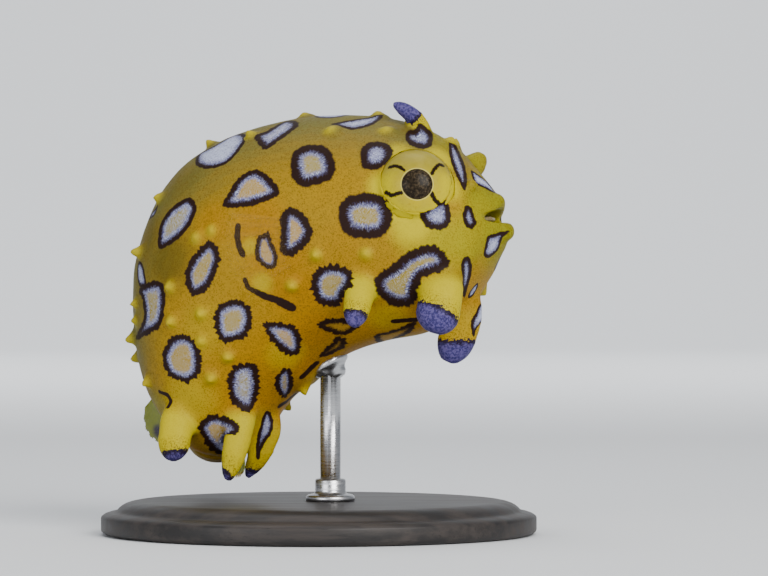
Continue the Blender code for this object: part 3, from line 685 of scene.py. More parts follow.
def spine_shape(root, normal, breadth, rise):
    """A blunt cone that leans back, its broad root sunk in the skin."""
    radius, height = SPINE_RADIUS * breadth, SPINE_HEIGHT * rise
    profile = [(radius * 1.15, -SPINE_ROOT), (radius * 0.98, -0.02)]
    profile += [(radius * wide, height * high) for wide, high in SPINE_TAPER]
    leaning = (normal - forward_near(root) * SPINE_LEAN).normalized()
    return stand_on(turned(profile, SPINE_SIDES), root, leaning)


def ring_round(centre, axis, radius, tube, points=56, sides=14):
    """A fleshy ring about an axis."""
    turn = axis.to_track_quat("Z", "Y").to_matrix()
    bm = bmesh.new()
    loops = []
    for k in range(points):
        angle = 2 * math.pi * k / points
        out = Vector((math.cos(angle), math.sin(angle), 0.0))
        verts = bmesh.ops.create_circle(bm, segments=sides, radius=1.0)["verts"]
        for j, vert in enumerate(verts):
            swing = 2 * math.pi * j / sides
            lift = Vector((0, 0, tube * math.sin(swing)))
            vert.co = centre + turn @ (out * (radius + tube * math.cos(swing)) + lift)
        loops.append(list({edge for vert in verts for edge in vert.link_edges}))
    for first, second in zip(loops, loops[1:] + loops[:1]):
        bmesh.ops.bridge_loops(bm, edges=first + second)
    bmesh.ops.recalc_face_normals(bm, faces=bm.faces[:])
    return bm


def eye_centre(side):
    point, normal, _ = skin_frame(EYE_STATION, side * EYE_TURN)
    return point - normal * EYE_SUNK, normal


def orbit_shape(side):
    """The skin's raised rim round an eye."""
    point, normal, _ = skin_frame(EYE_STATION, side * EYE_TURN)
    radius = math.sqrt(EYE_RADIUS**2 - EYE_SUNK**2) + ORBIT_RIDGE * 0.2
    return ring_round(point - normal * 0.05, normal, radius, ORBIT_RIDGE * 0.5)


# The mouth: its own slight roll, half its width, and each lip's roll as (ahead, above, radius).
MOUTH_ROLL = math.radians(2.0)
MOUTH_HALF = 1.7
UPPER_LIP = (-0.35, 1.20, 0.76)
LOWER_LIP = (-0.1, 1.16, 0.80)
LIP_CORNER_BACK = 1.1
LIP_STEPS, LIP_SIDES = 24, 20
SLOT_AHEAD, SLOT_LENGTH, SLOT_HEIGHT = 0.3, 1.3, 0.45
HOLLOW_LENGTH, HOLLOW_HALF, HOLLOW_HEIGHT = 1.8, 1.7, 0.62
BEAK_BACK = 1.5
BEAK_LENGTH, BEAK_HALF, BEAK_HEIGHT = 0.75, 1.35, 0.30


def mouth_axes():
    """Middle of the mouth, with the head's right-hand, forward and up directions."""
    middle, up, _ = section(0.0)
    forward = direction_at(1.0)
    up = Matrix.Rotation(MOUTH_ROLL, 3, -forward) @ up.normalized()
    up = (up - forward * up.dot(forward)).normalized()
    return middle, forward.cross(up), forward, up


def in_mouth(bm, ahead, size):
    """Sets a unit-sized shape in the mouth, so far ahead and scaled across, along and up."""
    middle, right, forward, up = mouth_axes()
    turn = Matrix((right, forward, up)).transposed().to_4x4()
    place = Matrix.Translation(middle + forward * ahead)
    scale = Matrix.Diagonal((*size, 1.0))
    bmesh.ops.transform(bm, matrix=place @ turn @ scale, verts=bm.verts[:])
    return bm


def lip_shape(sign, ahead, above, radius):
    """One lip: a soft roll that bows forward in its middle and narrows to the corners."""
    middle, right, forward, up = mouth_axes()
    rings = []
    for step in range(LIP_STEPS + 1):
        across = math.cos(math.pi * step / LIP_STEPS)
        bow = max(0.0, 1.0 - across * across)
        thick = radius * (0.45 + 0.55 * bow**0.5)
        centre = (
            middle + right * MOUTH_HALF * across
            + forward * (ahead * bow - LIP_CORNER_BACK * (1 - bow))
            + up * sign * above * (0.45 + 0.55 * bow)
        )
        rings.append(oval(centre, forward * thick, up * thick, LIP_SIDES))
    return loft(rings)


def mouth_slot_shape():
    bm = bmesh.new()
    bmesh.ops.create_cone(bm, cap_ends=True, segments=32, radius1=1.0, radius2=1.0, depth=8.0)
    bmesh.ops.rotate(bm, matrix=Matrix.Rotation(math.radians(90), 3, "Y"), verts=bm.verts[:])
    return in_mouth(bm, SLOT_AHEAD, (1.0, SLOT_LENGTH, SLOT_HEIGHT))


# Radius and height above the skin, up the nostril's outside and down into its opening.
NOSTRIL_PROFILE = (
    (0.62, -0.5), (0.55, 0.0), (0.50, 0.3), (0.42, 0.55), (0.3, 0.6), (0.2, 0.5), (0.14, 0.05),
)
NOSTRIL_SIDES = 20


def nostril_shape(side):
    """A low tube between eye and mouth, open at its end."""
    point, normal, _ = skin_frame(NOSTRIL_STATION, side * NOSTRIL_TURN)
    return stand_on(turned(NOSTRIL_PROFILE, NOSTRIL_SIDES), point, normal)


# The stalk of the tail leaves the body's rear end on the far side and curls upwards.
STALK = ((-8.2, 3.0, 7.8), (-8.4, 9.6, 5.8), (-8.2, 11.6, 9.4))
STALK_RADII = ((2.2, 2.6), (1.1, 1.5))
STALK_SIDES, STALK_STEPS = 32, 18
STALK_UP = Vector((-1.0, 0.1, 0.1))


def stalk_shape():
    curve = tuple(Vector(point) for point in STALK)
    rings = []
    for step in range(STALK_STEPS + 1):
        at = step / STALK_STEPS
        place, direction = bezier(curve, at)
        (thin_0, tall_0), (thin_1, tall_1) = STALK_RADII
        thin, tall = thin_0 + (thin_1 - thin_0) * at, tall_0 + (tall_1 - tall_0) * at
        across = direction.cross(STALK_UP).normalized()
        rise = across.cross(direction).normalized()
        rings.append(oval(place, across * thin, rise * tall, STALK_SIDES))
    return loft(rings)


SKIN_VOXEL = 0.186
SKIN_SMOOTHING = 3
SKIN_LUMP, SKIN_LUMP_SCALE = 0.07, 0.55
ROOT_SOFT, ROOT_SMOOTHING = 0.8, 14


def smooth(bm, verts, times):
    for _ in range(times):
        bmesh.ops.smooth_vert(bm, verts=verts, factor=0.5,
                              use_axis_x=True, use_axis_y=True, use_axis_z=True)


def skin_mesh(roots):
    """The whole skin as one closed surface, in millimetres."""
    forms = [spine_shape(*root) for root in roots]
    forms += [lobe_shape(lobe) for lobe in LOBES.values()]
    forms += [orbit_shape(side) for side in (1, -1)] + [nostril_shape(side) for side in (1, -1)]
    forms += [lip_shape(1, *UPPER_LIP), lip_shape(-1, *LOWER_LIP), stalk_shape()]
    body = loose_object("skin_work", body_shape())
    combine(body, "UNION", [loose_object("form", bm) for bm in forms])
    hollow = in_mouth(ball(Vector(), 1.0, 32, 20), -LIP_CORNER_BACK,
                      (HOLLOW_HALF, HOLLOW_LENGTH, HOLLOW_HEIGHT))
    sockets = [ball(eye_centre(side)[0], EYE_RADIUS, 48, 32) for side in (1, -1)]
    cutters = [mouth_slot_shape(), hollow, *sockets]
    combine(body, "DIFFERENCE", [loose_object("cutter", bm) for bm in cutters])
    remesh = body.modifiers.new("even", "REMESH")
    remesh.mode = "VOXEL"
    remesh.voxel_size = SKIN_VOXEL
    settle(body)
    bm = bmesh.new()
    bm.from_mesh(body.data)
    drop(body)
    smooth(bm, bm.verts[:], SKIN_SMOOTHING)
    soft = [(skin_point(lobe["station"], lobe["turn"]), lobe["width"] * ROOT_SOFT)
            for lobe in LOBES.values()]
    at_roots = [vert for vert in bm.verts
                if any((vert.co - spot).length < reach for spot, reach in soft)]
    smooth(bm, at_roots, ROOT_SMOOTHING)
    bm.normal_update()
    for vert in bm.verts:
        lump = 0.5 + 0.5 * noise.noise(vert.co * SKIN_LUMP_SCALE)
        vert.co -= vert.normal * SKIN_LUMP * lump
    bm.normal_update()
    return bm


# Spots and other marks of the skin. Each outline holds pixels of the front view, in order round
# the dark ring's outer edge. Ring is the ring's width in millimetres, warm the tan of its core
# (tone 0 is olive, 1 pinkish) and tooth how ragged the ring's outer edge is. A bare mark has
# nothing but its ring, one with over lies on a lobe, and root is how far one may run on to a lobe.
SEEN_MARKS = (
    dict(ring=0.44, warm=0.6, tooth=0.3, tone=0.1, outline=(
        (159, 249), (158, 235), (161, 222), (170, 209), (180, 201), (189, 197), (195, 203), (196, 211),
        (188, 228), (175, 241))),
    dict(ring=0.50, warm=1.0, tooth=0.4, tone=0.9, outline=(
        (222, 204), (230, 190), (239, 177), (254, 169), (265, 173), (278, 187), (278, 195), (261, 203),
        (245, 207), (230, 208))),
    dict(ring=0.36, warm=0.1, tooth=0.3, outline=(
        (195, 163), (202, 168), (212, 168), (225, 164), (237, 153), (247, 137), (237, 134), (215, 145),
        (199, 154))),
    dict(ring=0.52, warm=0.2, tooth=0.4, outline=(
        (255, 137), (261, 147), (266, 149), (281, 139), (297, 127), (297, 121), (285, 121), (268, 130))),
    dict(ring=0.34, warm=0.1, tooth=0.3, outline=(
        (331, 124), (344, 128), (356, 129), (374, 124), (384, 117.5), (374, 117), (358, 118.5),
        (343, 121))),
    dict(ring=0.72, warm=0.8, tooth=0.25, tone=0.2, outline=(
        (290, 163), (293, 153), (301, 147), (315, 144), (329, 149), (335, 162), (334, 174), (325, 182),
        (303, 187), (293, 179))),
    dict(ring=0.64, warm=0.1, tooth=0.25, outline=(
        (360, 157), (364, 145), (378, 141), (389, 145), (393, 153), (388, 165), (374, 170), (363, 167))),
    dict(ring=0.76, warm=0.9, tooth=0.25, tone=0.3, outline=(
        (338, 216), (341, 203), (350, 196), (366, 193), (384, 197), (391, 209), (392, 223), (384, 235),
        (369, 239), (346, 234))),
    dict(ring=0.62, warm=0.9, tooth=0.4, tone=1.0, outline=(
        (280, 219), (283, 211), (291, 207), (303, 213), (311, 225), (312, 235), (303, 249), (289, 257),
        (280, 251), (280, 234))),
    dict(ring=0.36, warm=2.4, tooth=0.6, tone=1.0, outline=(
        (268, 231), (272, 242), (278, 257), (274, 269), (262, 266), (255, 254), (258, 236), (263, 234))),
    dict(ring=0.42, warm=0.0, tooth=0.3, root=0.5, outline=(
        (405, 136), (408, 131), (415, 129.5), (419.5, 123), (426, 127), (432, 133), (433, 141),
        (428, 148.5), (415, 147.5), (407, 142))),
    dict(ring=0.48, warm=0.1, tooth=0.4, outline=(
        (418, 214), (423, 209), (432, 203), (441, 200), (448, 203), (451, 215), (449, 225), (440, 230),
        (427, 227))),
    dict(ring=0.38, warm=0.0, tooth=0.3, outline=(
        (467, 205), (472, 208), (475, 217), (477, 224), (471, 229), (465, 224), (463, 214))),
    dict(ring=0.26, warm=0.0, tooth=0.3, root=0.0, outline=(
        (450, 138), (457.5, 148), (464, 163), (467, 178), (465, 191), (456.5, 176), (449.5, 156))),
    dict(ring=0.25, warm=0.0, tooth=0.2, outline=(
        (471, 170), (475, 182), (485, 188), (497, 194), (489, 184), (479, 175))),
    dict(ring=0.29, warm=0.0, tooth=0.3, outline=(
        (504, 229), (502, 238), (498, 251), (489, 258), (484, 255), (486, 243), (488, 236), (497, 233))),
    dict(ring=0.70, warm=1.0, tooth=0.5, tone=0.2, root=0.35, outline=(
        (374, 283), (380, 272), (393, 264), (406, 253), (420, 247), (433, 245), (444, 251), (449, 263),
        (441, 272), (424, 278), (418, 290), (415, 304), (398, 307), (380, 298))),
    dict(ring=0.36, warm=0.0, tooth=0.3, outline=(
        (467, 256), (472, 262), (472, 274), (468, 288), (465, 299), (461, 287), (461, 272), (462, 262))),
    dict(ring=0.18, warm=0.0, tooth=0.2, outline=(
        (468, 298), (471, 291), (478, 283), (478, 288), (473, 295))),
    dict(ring=0.50, warm=1.1, tooth=0.7, tone=0.4, outline=(
        (209, 241), (217, 248), (220, 258), (217, 270), (209, 287), (194, 296), (187, 288), (185, 274),
        (189, 262), (198, 250))),
    dict(ring=0.46, warm=0.9, tooth=1.0, tone=0.4, outline=(
        (214, 317), (217, 307), (231, 300), (246, 303), (252, 317), (248, 334), (236, 341), (222, 342),
        (215, 331))),
    dict(ring=0.46, warm=1.3, tooth=0.9, tone=0.6, outline=(
        (162, 357), (169, 340), (182, 334), (196, 342), (201, 361), (198, 376), (186, 383), (169, 376))),
    dict(ring=0.50, warm=0.5, tooth=0.9, tone=0.1, outline=(
        (227, 385), (230, 371), (239, 364), (255, 365), (260, 387), (253, 407), (240, 408), (230, 399))),
    dict(ring=0.48, warm=0.9, tooth=0.8, tone=0.8, root=0.5, outline=(
        (198, 427), (206, 417), (214, 414), (229, 418), (239, 426), (238, 433), (229, 441), (226, 453),
        (215, 453), (204, 441))),
    dict(ring=0.54, warm=1.0, tooth=0.9, tone=0.4, root=0.3, outline=(
        (311, 283), (315, 272), (325, 265), (338, 265), (350, 270), (354, 280), (346, 295), (338, 306),
        (319, 304), (313, 294))),
    dict(ring=0.46, warm=0.7, tooth=0.9, tone=1.0, outline=(
        (262, 325), (277, 322), (295, 327), (302, 343), (297, 355), (286, 354), (274, 344))),
    dict(ring=0.36, warm=0.6, tooth=0.8, outline=(
        (289, 368), (293, 378), (291, 391), (284, 399), (277, 391), (276, 379), (281, 371))),
    dict(ring=0.26, warm=0.0, tooth=0.5, over=True, outline=(
        (269, 411), (273, 420), (272, 432), (263, 446), (257, 464), (256, 446), (260, 426), (264, 414))),
    dict(ring=0.46, warm=0.7, tooth=0.5, tone=0.2, outline=(
        (138, 291), (147, 283), (161, 282), (165, 301), (161, 324), (149, 334), (136, 339), (143, 320),
        (142, 300))),
    dict(ring=0.24, warm=0.0, tooth=0.3, outline=(
        (139, 261), (143, 266), (146, 284), (142, 287), (138, 284), (137, 270))),
    dict(ring=0.20, warm=0.0, tooth=0.3, outline=(
        (160, 196), (157, 206), (148, 219), (146, 214), (152, 203))),
    dict(ring=0.52, warm=0.0, tooth=0.7, bare=1.0, outline=(
        (317, 326), (325, 320), (342, 319), (358, 324), (356, 330), (343, 336), (325, 331))),
    dict(ring=0.48, warm=0.0, tooth=0.7, bare=1.0, outline=(
        (374, 337), (388, 332), (404, 327), (417, 321), (411, 332), (400, 338), (386, 342))),
    dict(ring=0.56, warm=0.0, tooth=0.8, bare=1.0, outline=(
        (337, 337), (347, 340), (344, 348), (330, 355), (319, 359), (322, 352), (330, 345))),
    dict(ring=0.17, warm=0.0, tooth=0.4, over=True, outline=(
        (471, 328), (474, 316), (481, 303), (484, 310), (480, 324), (474, 338))),
)

# Dark lines: half width in millimetres and pixels of the front view along them.
SEEN_LINES = (
    (0.26, ((238, 226), (237, 236), (239, 247), (243, 255))),
    (0.20, ((245, 280), (248, 288), (258, 293))),
    (0.28, ((258, 293), (266, 297), (280, 301))),
    (0.36, ((280, 302), (286, 305), (292, 308))),
    (0.27, ((394, 322), (405, 321), (417, 320))),
    (0.28, ((280, 406), (289, 404), (298, 400))),
    (0.32, ((303, 377), (309, 371), (316, 364))),
    (0.28, ((263, 443), (269, 437), (275, 431))),
    (0.16, ((159, 392), (167, 395), (172, 401), (173, 409), (170, 418), (164, 424))),
    (0.22, ((441, 204), (436, 200), (432, 195))),
)

# Spots placed on the body itself: station, turn, half length along and half height round it in
# millimetres, tilt in degrees, ring width and warmth of the core.
ROUND_MARKS = (
    (8.75, 5.0, 2.2, 1.5, 10.0, 0.46, 0.2),
    (10.0, 12.0, 1.6, 1.1, 0.0, 0.36, 0.1),
    (11.35, -4.0, 1.3, 1.2, 0.0, 0.36, 0.2),
    (5.9, -5.0, 1.3, 0.9, 0.0, 0.30, 0.1),
    (5.0, -30.0, 1.4, 1.3, 0.0, 0.42, 0.1),
    (2.1, -8.0, 1.0, 0.9, 0.0, 0.26, 0.0),
    (7.9, -40.0, 1.9, 1.5, -15.0, 0.5, 0.4),
    (6.35, -52.0, 1.6, 1.5, 0.0, 0.52, 0.5),
    (6.15, -96.0, 1.9, 1.7, 0.0, 0.56, 0.7),
    (7.35, -72.0, 1.6, 1.6, 20.0, 0.52, 0.7),
    (8.7, -74.0, 1.6, 1.4, 0.0, 0.46, 1.0),
    (9.6, -44.0, 1.7, 1.3, 10.0, 0.42, 0.4),
    (9.9, -80.0, 1.9, 1.2, 25.0, 0.42, 0.9),
    (8.3, -112.0, 1.5, 1.2, 0.0, 0.42, 0.8),
    (10.9, -106.0, 1.4, 1.4, 0.0, 0.40, 0.6),
    (11.0, -58.0, 1.5, 1.3, 0.0, 0.40, 0.8),
    (12.4, -48.0, 1.3, 1.1, 0.0, 0.38, 0.5),
    (12.6, -116.0, 1.3, 1.1, 0.0, 0.38, 0.3),
    (9.7, -134.0, 1.3, 1.1, 0.0, 0.36, 0.6),
    (5.0, -134.0, 1.9, 1.3, -20.0, 0.56, 0.8),
    (4.25, -42.0, 1.0, 0.9, 0.0, 0.36, 0.0),
    (3.0, -118.0, 1.0, 0.9, 0.0, 0.34, 0.0),
    (1.9, -72.0, 0.8, 0.7, 0.0, 0.24, 0.0),
    (2.2, -150.0, 0.9, 0.6, 0.0, 0.26, 0.0),
    (7.1, -150.0, 1.5, 1.1, 10.0, 0.36, 0.8),
    (13.4, -12.0, 0.9, 0.8, 0.0, 0.30, 0.2),
    (13.5, 150.0, 0.8, 0.7, 0.0, 0.26, 0.2),
    (6.25, 22.0, 1.4, 1.25, 0.0, 0.34, 0.1),
)
# Depth in a mark is counted in widths of its ring: 0 at the ring's outer edge, -1 at its inner one
# and above 0 outside, up to CLEAR_OF_MARKS. That of a line goes no deeper than LINE_DEPTH.
CLEAR_OF_MARKS, LINE_DEPTH = 9.0, -0.45
# A mark stays off skin that is turned away from its own normal, or in the front view from the eye.
TURNED_AWAY, EDGE_ON = -0.1, -0.05
# Where a spine is palest, above and behind its root, and how far from there it is pale at all.
PALE_RISE, PALE_BACK, PALE_REACH, PALE_FULL = 0.45, 0.1, 0.95, 0.25
# How far short of a tip's blue, in millimetres, a vertex counts that is on no lobe.
NO_TIP = -5.0
LINE_TOOTH, ROUND_TOOTH = 0.35, 0.5
MARK_MARGIN = 1.0
MARK_DEPTH, SEEN_DEPTH = 3.2, 2.2
CURVE_STEPS, ROUND_STEPS = 5, 40
# The first numbers of the lines and of the round spots, which keep their patterns apart.
LINE_NUMBER, ROUND_NUMBER, PATTERN_STEP = 50, 80, 7.3


def closed_curve(points):
    """A smooth closed line through flat points."""
    count = len(points)
    made = []
    for k in range(count):
        window = [points[(k + step) % count] for step in (-1, 0, 1, 2)]
        for step in range(CURVE_STEPS):
            made.append(Vector(smooth_step(window, 1 + step / CURVE_STEPS)))
    return made


def nearest_on(line, point, closed):
    """Distance from a flat point to a line and the line's nearest point."""
    best, foot = 1e9, None
    ends = list(zip(line, line[1:] + line[:1] if closed else line[1:]))
    for start, end in ends:
        span = end - start
        share = max(0.0, min(1.0, (point - start).dot(span) / max(span.length_squared, 1e-9)))
        place = start + span * share
        distance = (point - place).length_squared
        if distance < best:
            best, foot = distance, place
    return math.sqrt(best), foot


def holds(line, point):
    """Whether a closed flat line runs round a point."""
    inside = False
    for start, end in zip(line, line[1:] + line[:1]):
        if (start.y > point.y) != (end.y > point.y):
            if point.x < start.x + (end.x - start.x) * (point.y - start.y) / (end.y - start.y):
                inside = not inside
    return inside


class SkinPaint:
    """Values at each of the skin's vertices, kept with the mesh as attributes."""

    def __init__(self, bm, body):
        bm.verts.ensure_lookup_table()
        self.verts = bm.verts
        self.body = body
        self.whole = BVHTree.FromBMesh(bm)
        count = len(bm.verts)
        self.tree = KDTree(count)
        for vert in bm.verts:
            self.tree.insert(vert.co, vert.index)
        self.tree.balance()
        self.mark = [CLEAR_OF_MARKS] * count
        self.foot = [(0.0, 0.0, 0.0)] * count
        self.trim = [(0.0, 0.0, 0.0, 0.0)] * count
        self.lobe = [0.0] * count
        self.lobe_soft = [0.0] * count
        self.lobe_at = [0.0] * count
        self.lobe_bright = [0.0] * count
        self.green = [0.0] * count
        self.tip = [NO_TIP] * count
        self.spine = [0.0] * count
        self.zones = [(0.0, 0.0, 0.0, 0.0)] * count

    def near(self, place, reach):
        """Numbers and vertices within reach of a place."""
        return ((index, self.verts[index]) for _, index, _ in self.tree.find_range(place, reach))

    def flat_mark(self, centre, normal, side, line, mark, number, closed=True, seen=False):
        """Paints a spot or line given in the flat frame that touches the skin at its centre.

        Where seen is set it is given as the front view shows it, measured in the plane y = 0.
        """
        rise = normal.cross(side).normalized()
        reach = max(point.length for point in line) + MARK_MARGIN
        ring = mark["ring"]
        found = []
        for index, vert in self.near(centre, reach * 1.25):
            away = vert.co - centre
            if vert.normal.dot(normal) < TURNED_AWAY or abs(away.dot(normal)) > MARK_DEPTH:
                continue
            if seen and (vert.normal.y > EDGE_ON or away.y > SEEN_DEPTH):
                continue
            flat = Vector((away.dot(side), away.dot(rise)))
            if seen:
                flat = on_plane(vert.co) - on_plane(centre)
            distance, foot = nearest_on(line, flat, closed)
            inside = closed and holds(line, flat)
            found.append((index, distance, foot, inside))
        deepest = max([distance for _, distance, _, inside in found if inside] + [2 * ring])
        for index, distance, foot, inside in found:
            if closed:
                depth = (-distance if inside else distance) / ring
            else:
                depth = max(LINE_DEPTH, (distance - ring) / ring)
            if not mark.get("over") and self.lobe_at[index] >= mark.get("root", 0.0):
                depth += CLEAR_OF_MARKS * ease(0.3, 0.6, self.lobe[index])
            depth += CLEAR_OF_MARKS * ease(0.35, 0.8, self.spine[index])
            if depth < self.mark[index]:
                share = (distance - ring) / (deepest - ring)
                warm = mark["warm"] * ease(0.10, 0.62, share)
                self.mark[index] = depth
                self.foot[index] = (foot.x, foot.y, number * PATTERN_STEP)
                self.trim[index] = (warm, mark["tooth"], mark.get("bare", 0.0), mark.get("tone", 0.5))

    def seen_line(self, pixels, mark, number, closed):
        """Paints a mark that is measured in the front view."""
        form = self.whole if mark.get("over") else self.body
        hits = [seen_on(form, px, py) for px, py in pixels]
        centre = sum((place for place, _ in hits), Vector()) / len(hits)
        place, normal, _, _ = form.find_nearest(centre)
        normal = (normal + sum((hit for _, hit in hits), Vector()) / len(hits)).normalized()
        side = (Vector((1, 0, 0)) - normal * normal.x).normalized()
        rise = normal.cross(side)
        flat = [Vector(((hit - place).dot(side), (hit - place).dot(rise))) for hit, _ in hits]
        seen = "root" in mark
        if seen:
            flat = [on_plane(seen_at(px, py)) - on_plane(place) for px, py in pixels]
        line = closed_curve(flat) if closed else flat
        self.flat_mark(place, normal, side, line, mark, number, closed, seen)

    def round_mark(self, station, turn, along, around, tilt, ring, warm, number):
        """Paints a spot that is placed on the body, a slightly uneven oval."""
        place, normal, forward = skin_frame(station, turn)
        lean = math.radians(tilt)
        line = []
        for k in range(ROUND_STEPS):
            angle = 2 * math.pi * k / ROUND_STEPS
            swell = 1.0 + 0.10 * noise.noise(Vector((math.cos(angle), math.sin(angle), number * 3.1)))
            x, y = along * swell * math.cos(angle), around * swell * math.sin(angle)
            line.append(Vector((x * math.cos(lean) - y * math.sin(lean),
                                x * math.sin(lean) + y * math.cos(lean))))
        mark = dict(ring=ring, warm=warm, tooth=ROUND_TOOTH)
        self.flat_mark(place, normal, forward, line, mark, number)

    def lobes(self):
        """How far each vertex belongs to a lobe and to the blue of its tip."""
        for lobe in LOBES.values():
            rings = [lobe_ring(lobe, step) for step in range(LOBE_STEPS + 1)]
            start, end = rings[0][0], rings[-1][0]
            length = sum((b[0] - a[0]).length for a, b in zip(rings, rings[1:]))
            width = lobe["width"]
            for index, vert in self.near((start + end) / 2, length / 2 + width):
                place, across, through, at = min(
                    rings, key=lambda ring: (ring[0] - vert.co).length_squared)
                away = vert.co - place
                # Off is counted in the lobe's radii, along in millimetres from its root.
                off = math.hypot(away.dot(across) / max(across.length_squared, 0.01),
                                 away.dot(through) / max(through.length_squared, 0.01))
                along = (vert.co - start).dot((rings[3][0] - start).normalized())
                member = ease(1.2, 0.95, off) * ease(-0.2, 0.25, along)
                soft = ease(1.35, 0.9, off) * ease(-0.7, 0.6, along)
                self.lobe_soft[index] = max(soft, self.lobe_soft[index])
                if soft > 0 and member >= self.lobe[index]:
                    self.lobe[index] = member
                    self.lobe_at[index] = at
                    self.lobe_bright[index] = lobe.get("bright", LOBE_BRIGHT)
                    edge = (at - lobe["blue"]) * length + lobe["slant"] * away.dot(across.normalized())
                    if at > 0.99:
                        edge += max(0.0, away.dot((end - rings[-2][0]).normalized()))
                    self.tip[index] = edge if soft > 0.5 else NO_TIP

    def spines(self, roots):
        """How far each vertex belongs to a spine."""
        for place, normal, _, _ in roots:
            top = place + normal * PALE_RISE - forward_near(place) * PALE_BACK
            for index, vert in self.near(top, PALE_REACH):
                pale = ease(PALE_REACH, PALE_FULL, (vert.co - top).length)
                self.spine[index] = max(self.spine[index], pale)

    def colour_zones(self):
        """Shares of olive back, orange, bright yellow (one patch of it painted light), painted shade and
        green at each vertex.
        """
        grid = [(station / 4, turn) for station in range(4 * LAST + 1) for turn in range(-180, 180, 6)]
        tree = KDTree(len(grid))
        for index, (station, turn) in enumerate(grid):
            tree.insert(skin_point(station, turn), index)
        tree.balance()
        groups = []
        for places in (ORANGE_PLACES, BRIGHT_AND_PAINTED_LIGHT_PLACES, GREEN_PLACES, PAINTED_SHADE_PLACES):
            spots = []
            for px, py, reach, strength in places:
                spot = seen_on(self.body, px, py)[0]
                _, index, _ = tree.find(spot)
                station, turn = grid[index]
                spots.append((strength, reach, (spot, skin_point(station, -turn))))
            groups.append(spots)
        for vert in self.verts:
            _, index, _ = tree.find(vert.co)
            station, turn = grid[index]
            rearward = 14.0 * ease(6.0, 9.0, station)
            back = ease(88.0 + rearward, 40.0 + rearward, abs(turn))
            back *= ease(1.5, 4.0, station) * ease(15.5, 12.5, station)
            belly = ease(112.0, 160.0, abs(turn)) * ease(2.5, 5.0, station)
            orange, bright, green, shade = (
                max(weight(vert.co, spot) for spot in spots) for spots in groups)
            orange = max(orange, 0.75 * belly)
            member = self.lobe_soft[vert.index]
            bright = bright * (1 - member) + member * self.lobe_bright[vert.index]
            self.green[vert.index] = max(green, ease(3.4, 1.6, station))
            self.zones[vert.index] = (back * (1 - 0.6 * orange), orange * (1 - bright), bright, shade)

    def keep(self, mesh):
        """Writes the values to the mesh's attributes."""
        keep_values(mesh, mark=self.mark, tip=self.tip, spine=self.spine, green=self.green)
        foot = [number for place in self.foot for number in place]
        mesh.attributes.new("mark_foot", "FLOAT_VECTOR", "POINT").data.foreach_set("vector", foot)
        for name, shares in (("zones", self.zones), ("mark_trim", self.trim)):
            values = [number for share in shares for number in share]
            mesh.attributes.new(name, "FLOAT_COLOR", "POINT").data.foreach_set("color", values)


def weight(place, spot):
    """How strongly a patch of colour shows at a place; each patch has a twin on the far side."""
    strength, reach, centres = spot
    nearest = min((place - centre).length for centre in centres)
    return strength * ease(reach, reach * 0.25, nearest)


# Pixel of the front view, reach in millimetres and strength of each patch of colour.
ORANGE_PLACES = (
    (258, 224, 3.4, 0.8), (280, 262, 3.8, 0.8), (300, 296, 4.2, 0.9), (312, 330, 4.0, 1.0),
    (322, 360, 3.2, 0.9), (214, 222, 2.6, 0.6), (342, 250, 3.0, 0.3), (384, 330, 3.4, 0.6),
    (306, 366, 2.4, 1.0), (455, 326, 2.6, 1.0), (200, 452, 1.2, 1.0),
)
LOBE_BRIGHT = 0.95
# Lemon yellow patches. The one at (388, 318) is painted light that lifts the chin's underside out of the
# shade of the top lamp.
BRIGHT_AND_PAINTED_LIGHT_PLACES = (
    (448, 186, 2.0, 1.0), (383, 186, 1.8, 1.0), (396, 210, 2.2, 1.0), (412, 224, 2.6, 1.0),
    (440, 158, 2.0, 0.9), (425, 238, 3.0, 0.45), (399, 155, 1.8, 0.8), (455, 240, 3.4, 0.35),
    (480, 215, 3.0, 0.2), (190, 400, 3.2, 0.35), (250, 430, 2.6, 0.4), (205, 330, 3.0, 0.2),
    (250, 246, 1.0, 0.45), (262, 283, 1.2, 0.5), (285, 354, 2.2, 0.3), (388, 318, 2.4, 0.3),
)
GREEN_PLACES = (
    (484, 205, 3.2, 1.0), (470, 240, 3.4, 0.9), (445, 242, 3.0, 0.8), (500, 228, 2.6, 1.0),
    (452, 140, 2.6, 0.6), (474, 152, 2.6, 0.9), (420, 236, 2.6, 0.5), (455, 268, 2.4, 0.6),
    (162, 410, 2.4, 0.7),
)
# Painted shade: patches at the left of the front view, darkened as if turned away from the light.
PAINTED_SHADE_PLACES = (
    (170, 262, 3.4, 0.75), (150, 236, 2.6, 0.5), (148, 300, 2.2, 0.4), (182, 182, 2.4, 0.3),
)


def build_skin():
    body = tree_of(body_shape())
    roots = spine_roots(body, keep_off_places())
    bm = skin_mesh(roots)
    paint = SkinPaint(bm, body)
    paint.lobes()
    paint.spines(roots)
    for number, mark in enumerate(SEEN_MARKS):
        paint.seen_line(mark["outline"], mark, number, True)
    for number, (half, pixels) in enumerate(SEEN_LINES):
        mark = dict(ring=half, warm=0.0, tooth=LINE_TOOTH)
        paint.seen_line(pixels, mark, LINE_NUMBER + number, False)
    for number, mark in enumerate(ROUND_MARKS):
        paint.round_mark(*mark, ROUND_NUMBER + number)
    paint.colour_zones()
    nodes = ["head", "trunk_front", "trunk_rear", "tail_root", "tail_stalk", *LOBES]
    piece = finish_piece("skin", bm, [skin_finish()], nodes)
    paint.keep(piece.data)


# Eyes

# The pixel of the front view where the middle of the seen eye's pupil shows.
PUPIL_AT = (417.3, 183.7)
PUPIL_RADIUS, PUPIL_RISE = 1.15, 0.05
EYE_BALL = 3.03
# Dark strokes of the iris: half width, and places across and above the pupil's middle.
EYE_LINES = (
    (0.13, ((-2.05, 1.44), (-1.7, 1.54), (-1.3, 1.38), (-0.98, 1.1))),
    (0.14, ((2.05, 1.62), (1.75, 1.66), (1.4, 1.3), (1.12, 0.84))),
    (0.14, ((-2.3, -0.5), (-1.9, -0.78), (-1.15, -0.62))),
    (0.17, ((1.05, -0.66), (1.35, -1.15), (1.9, -1.55))),
)
OFF_EYE = 5.0

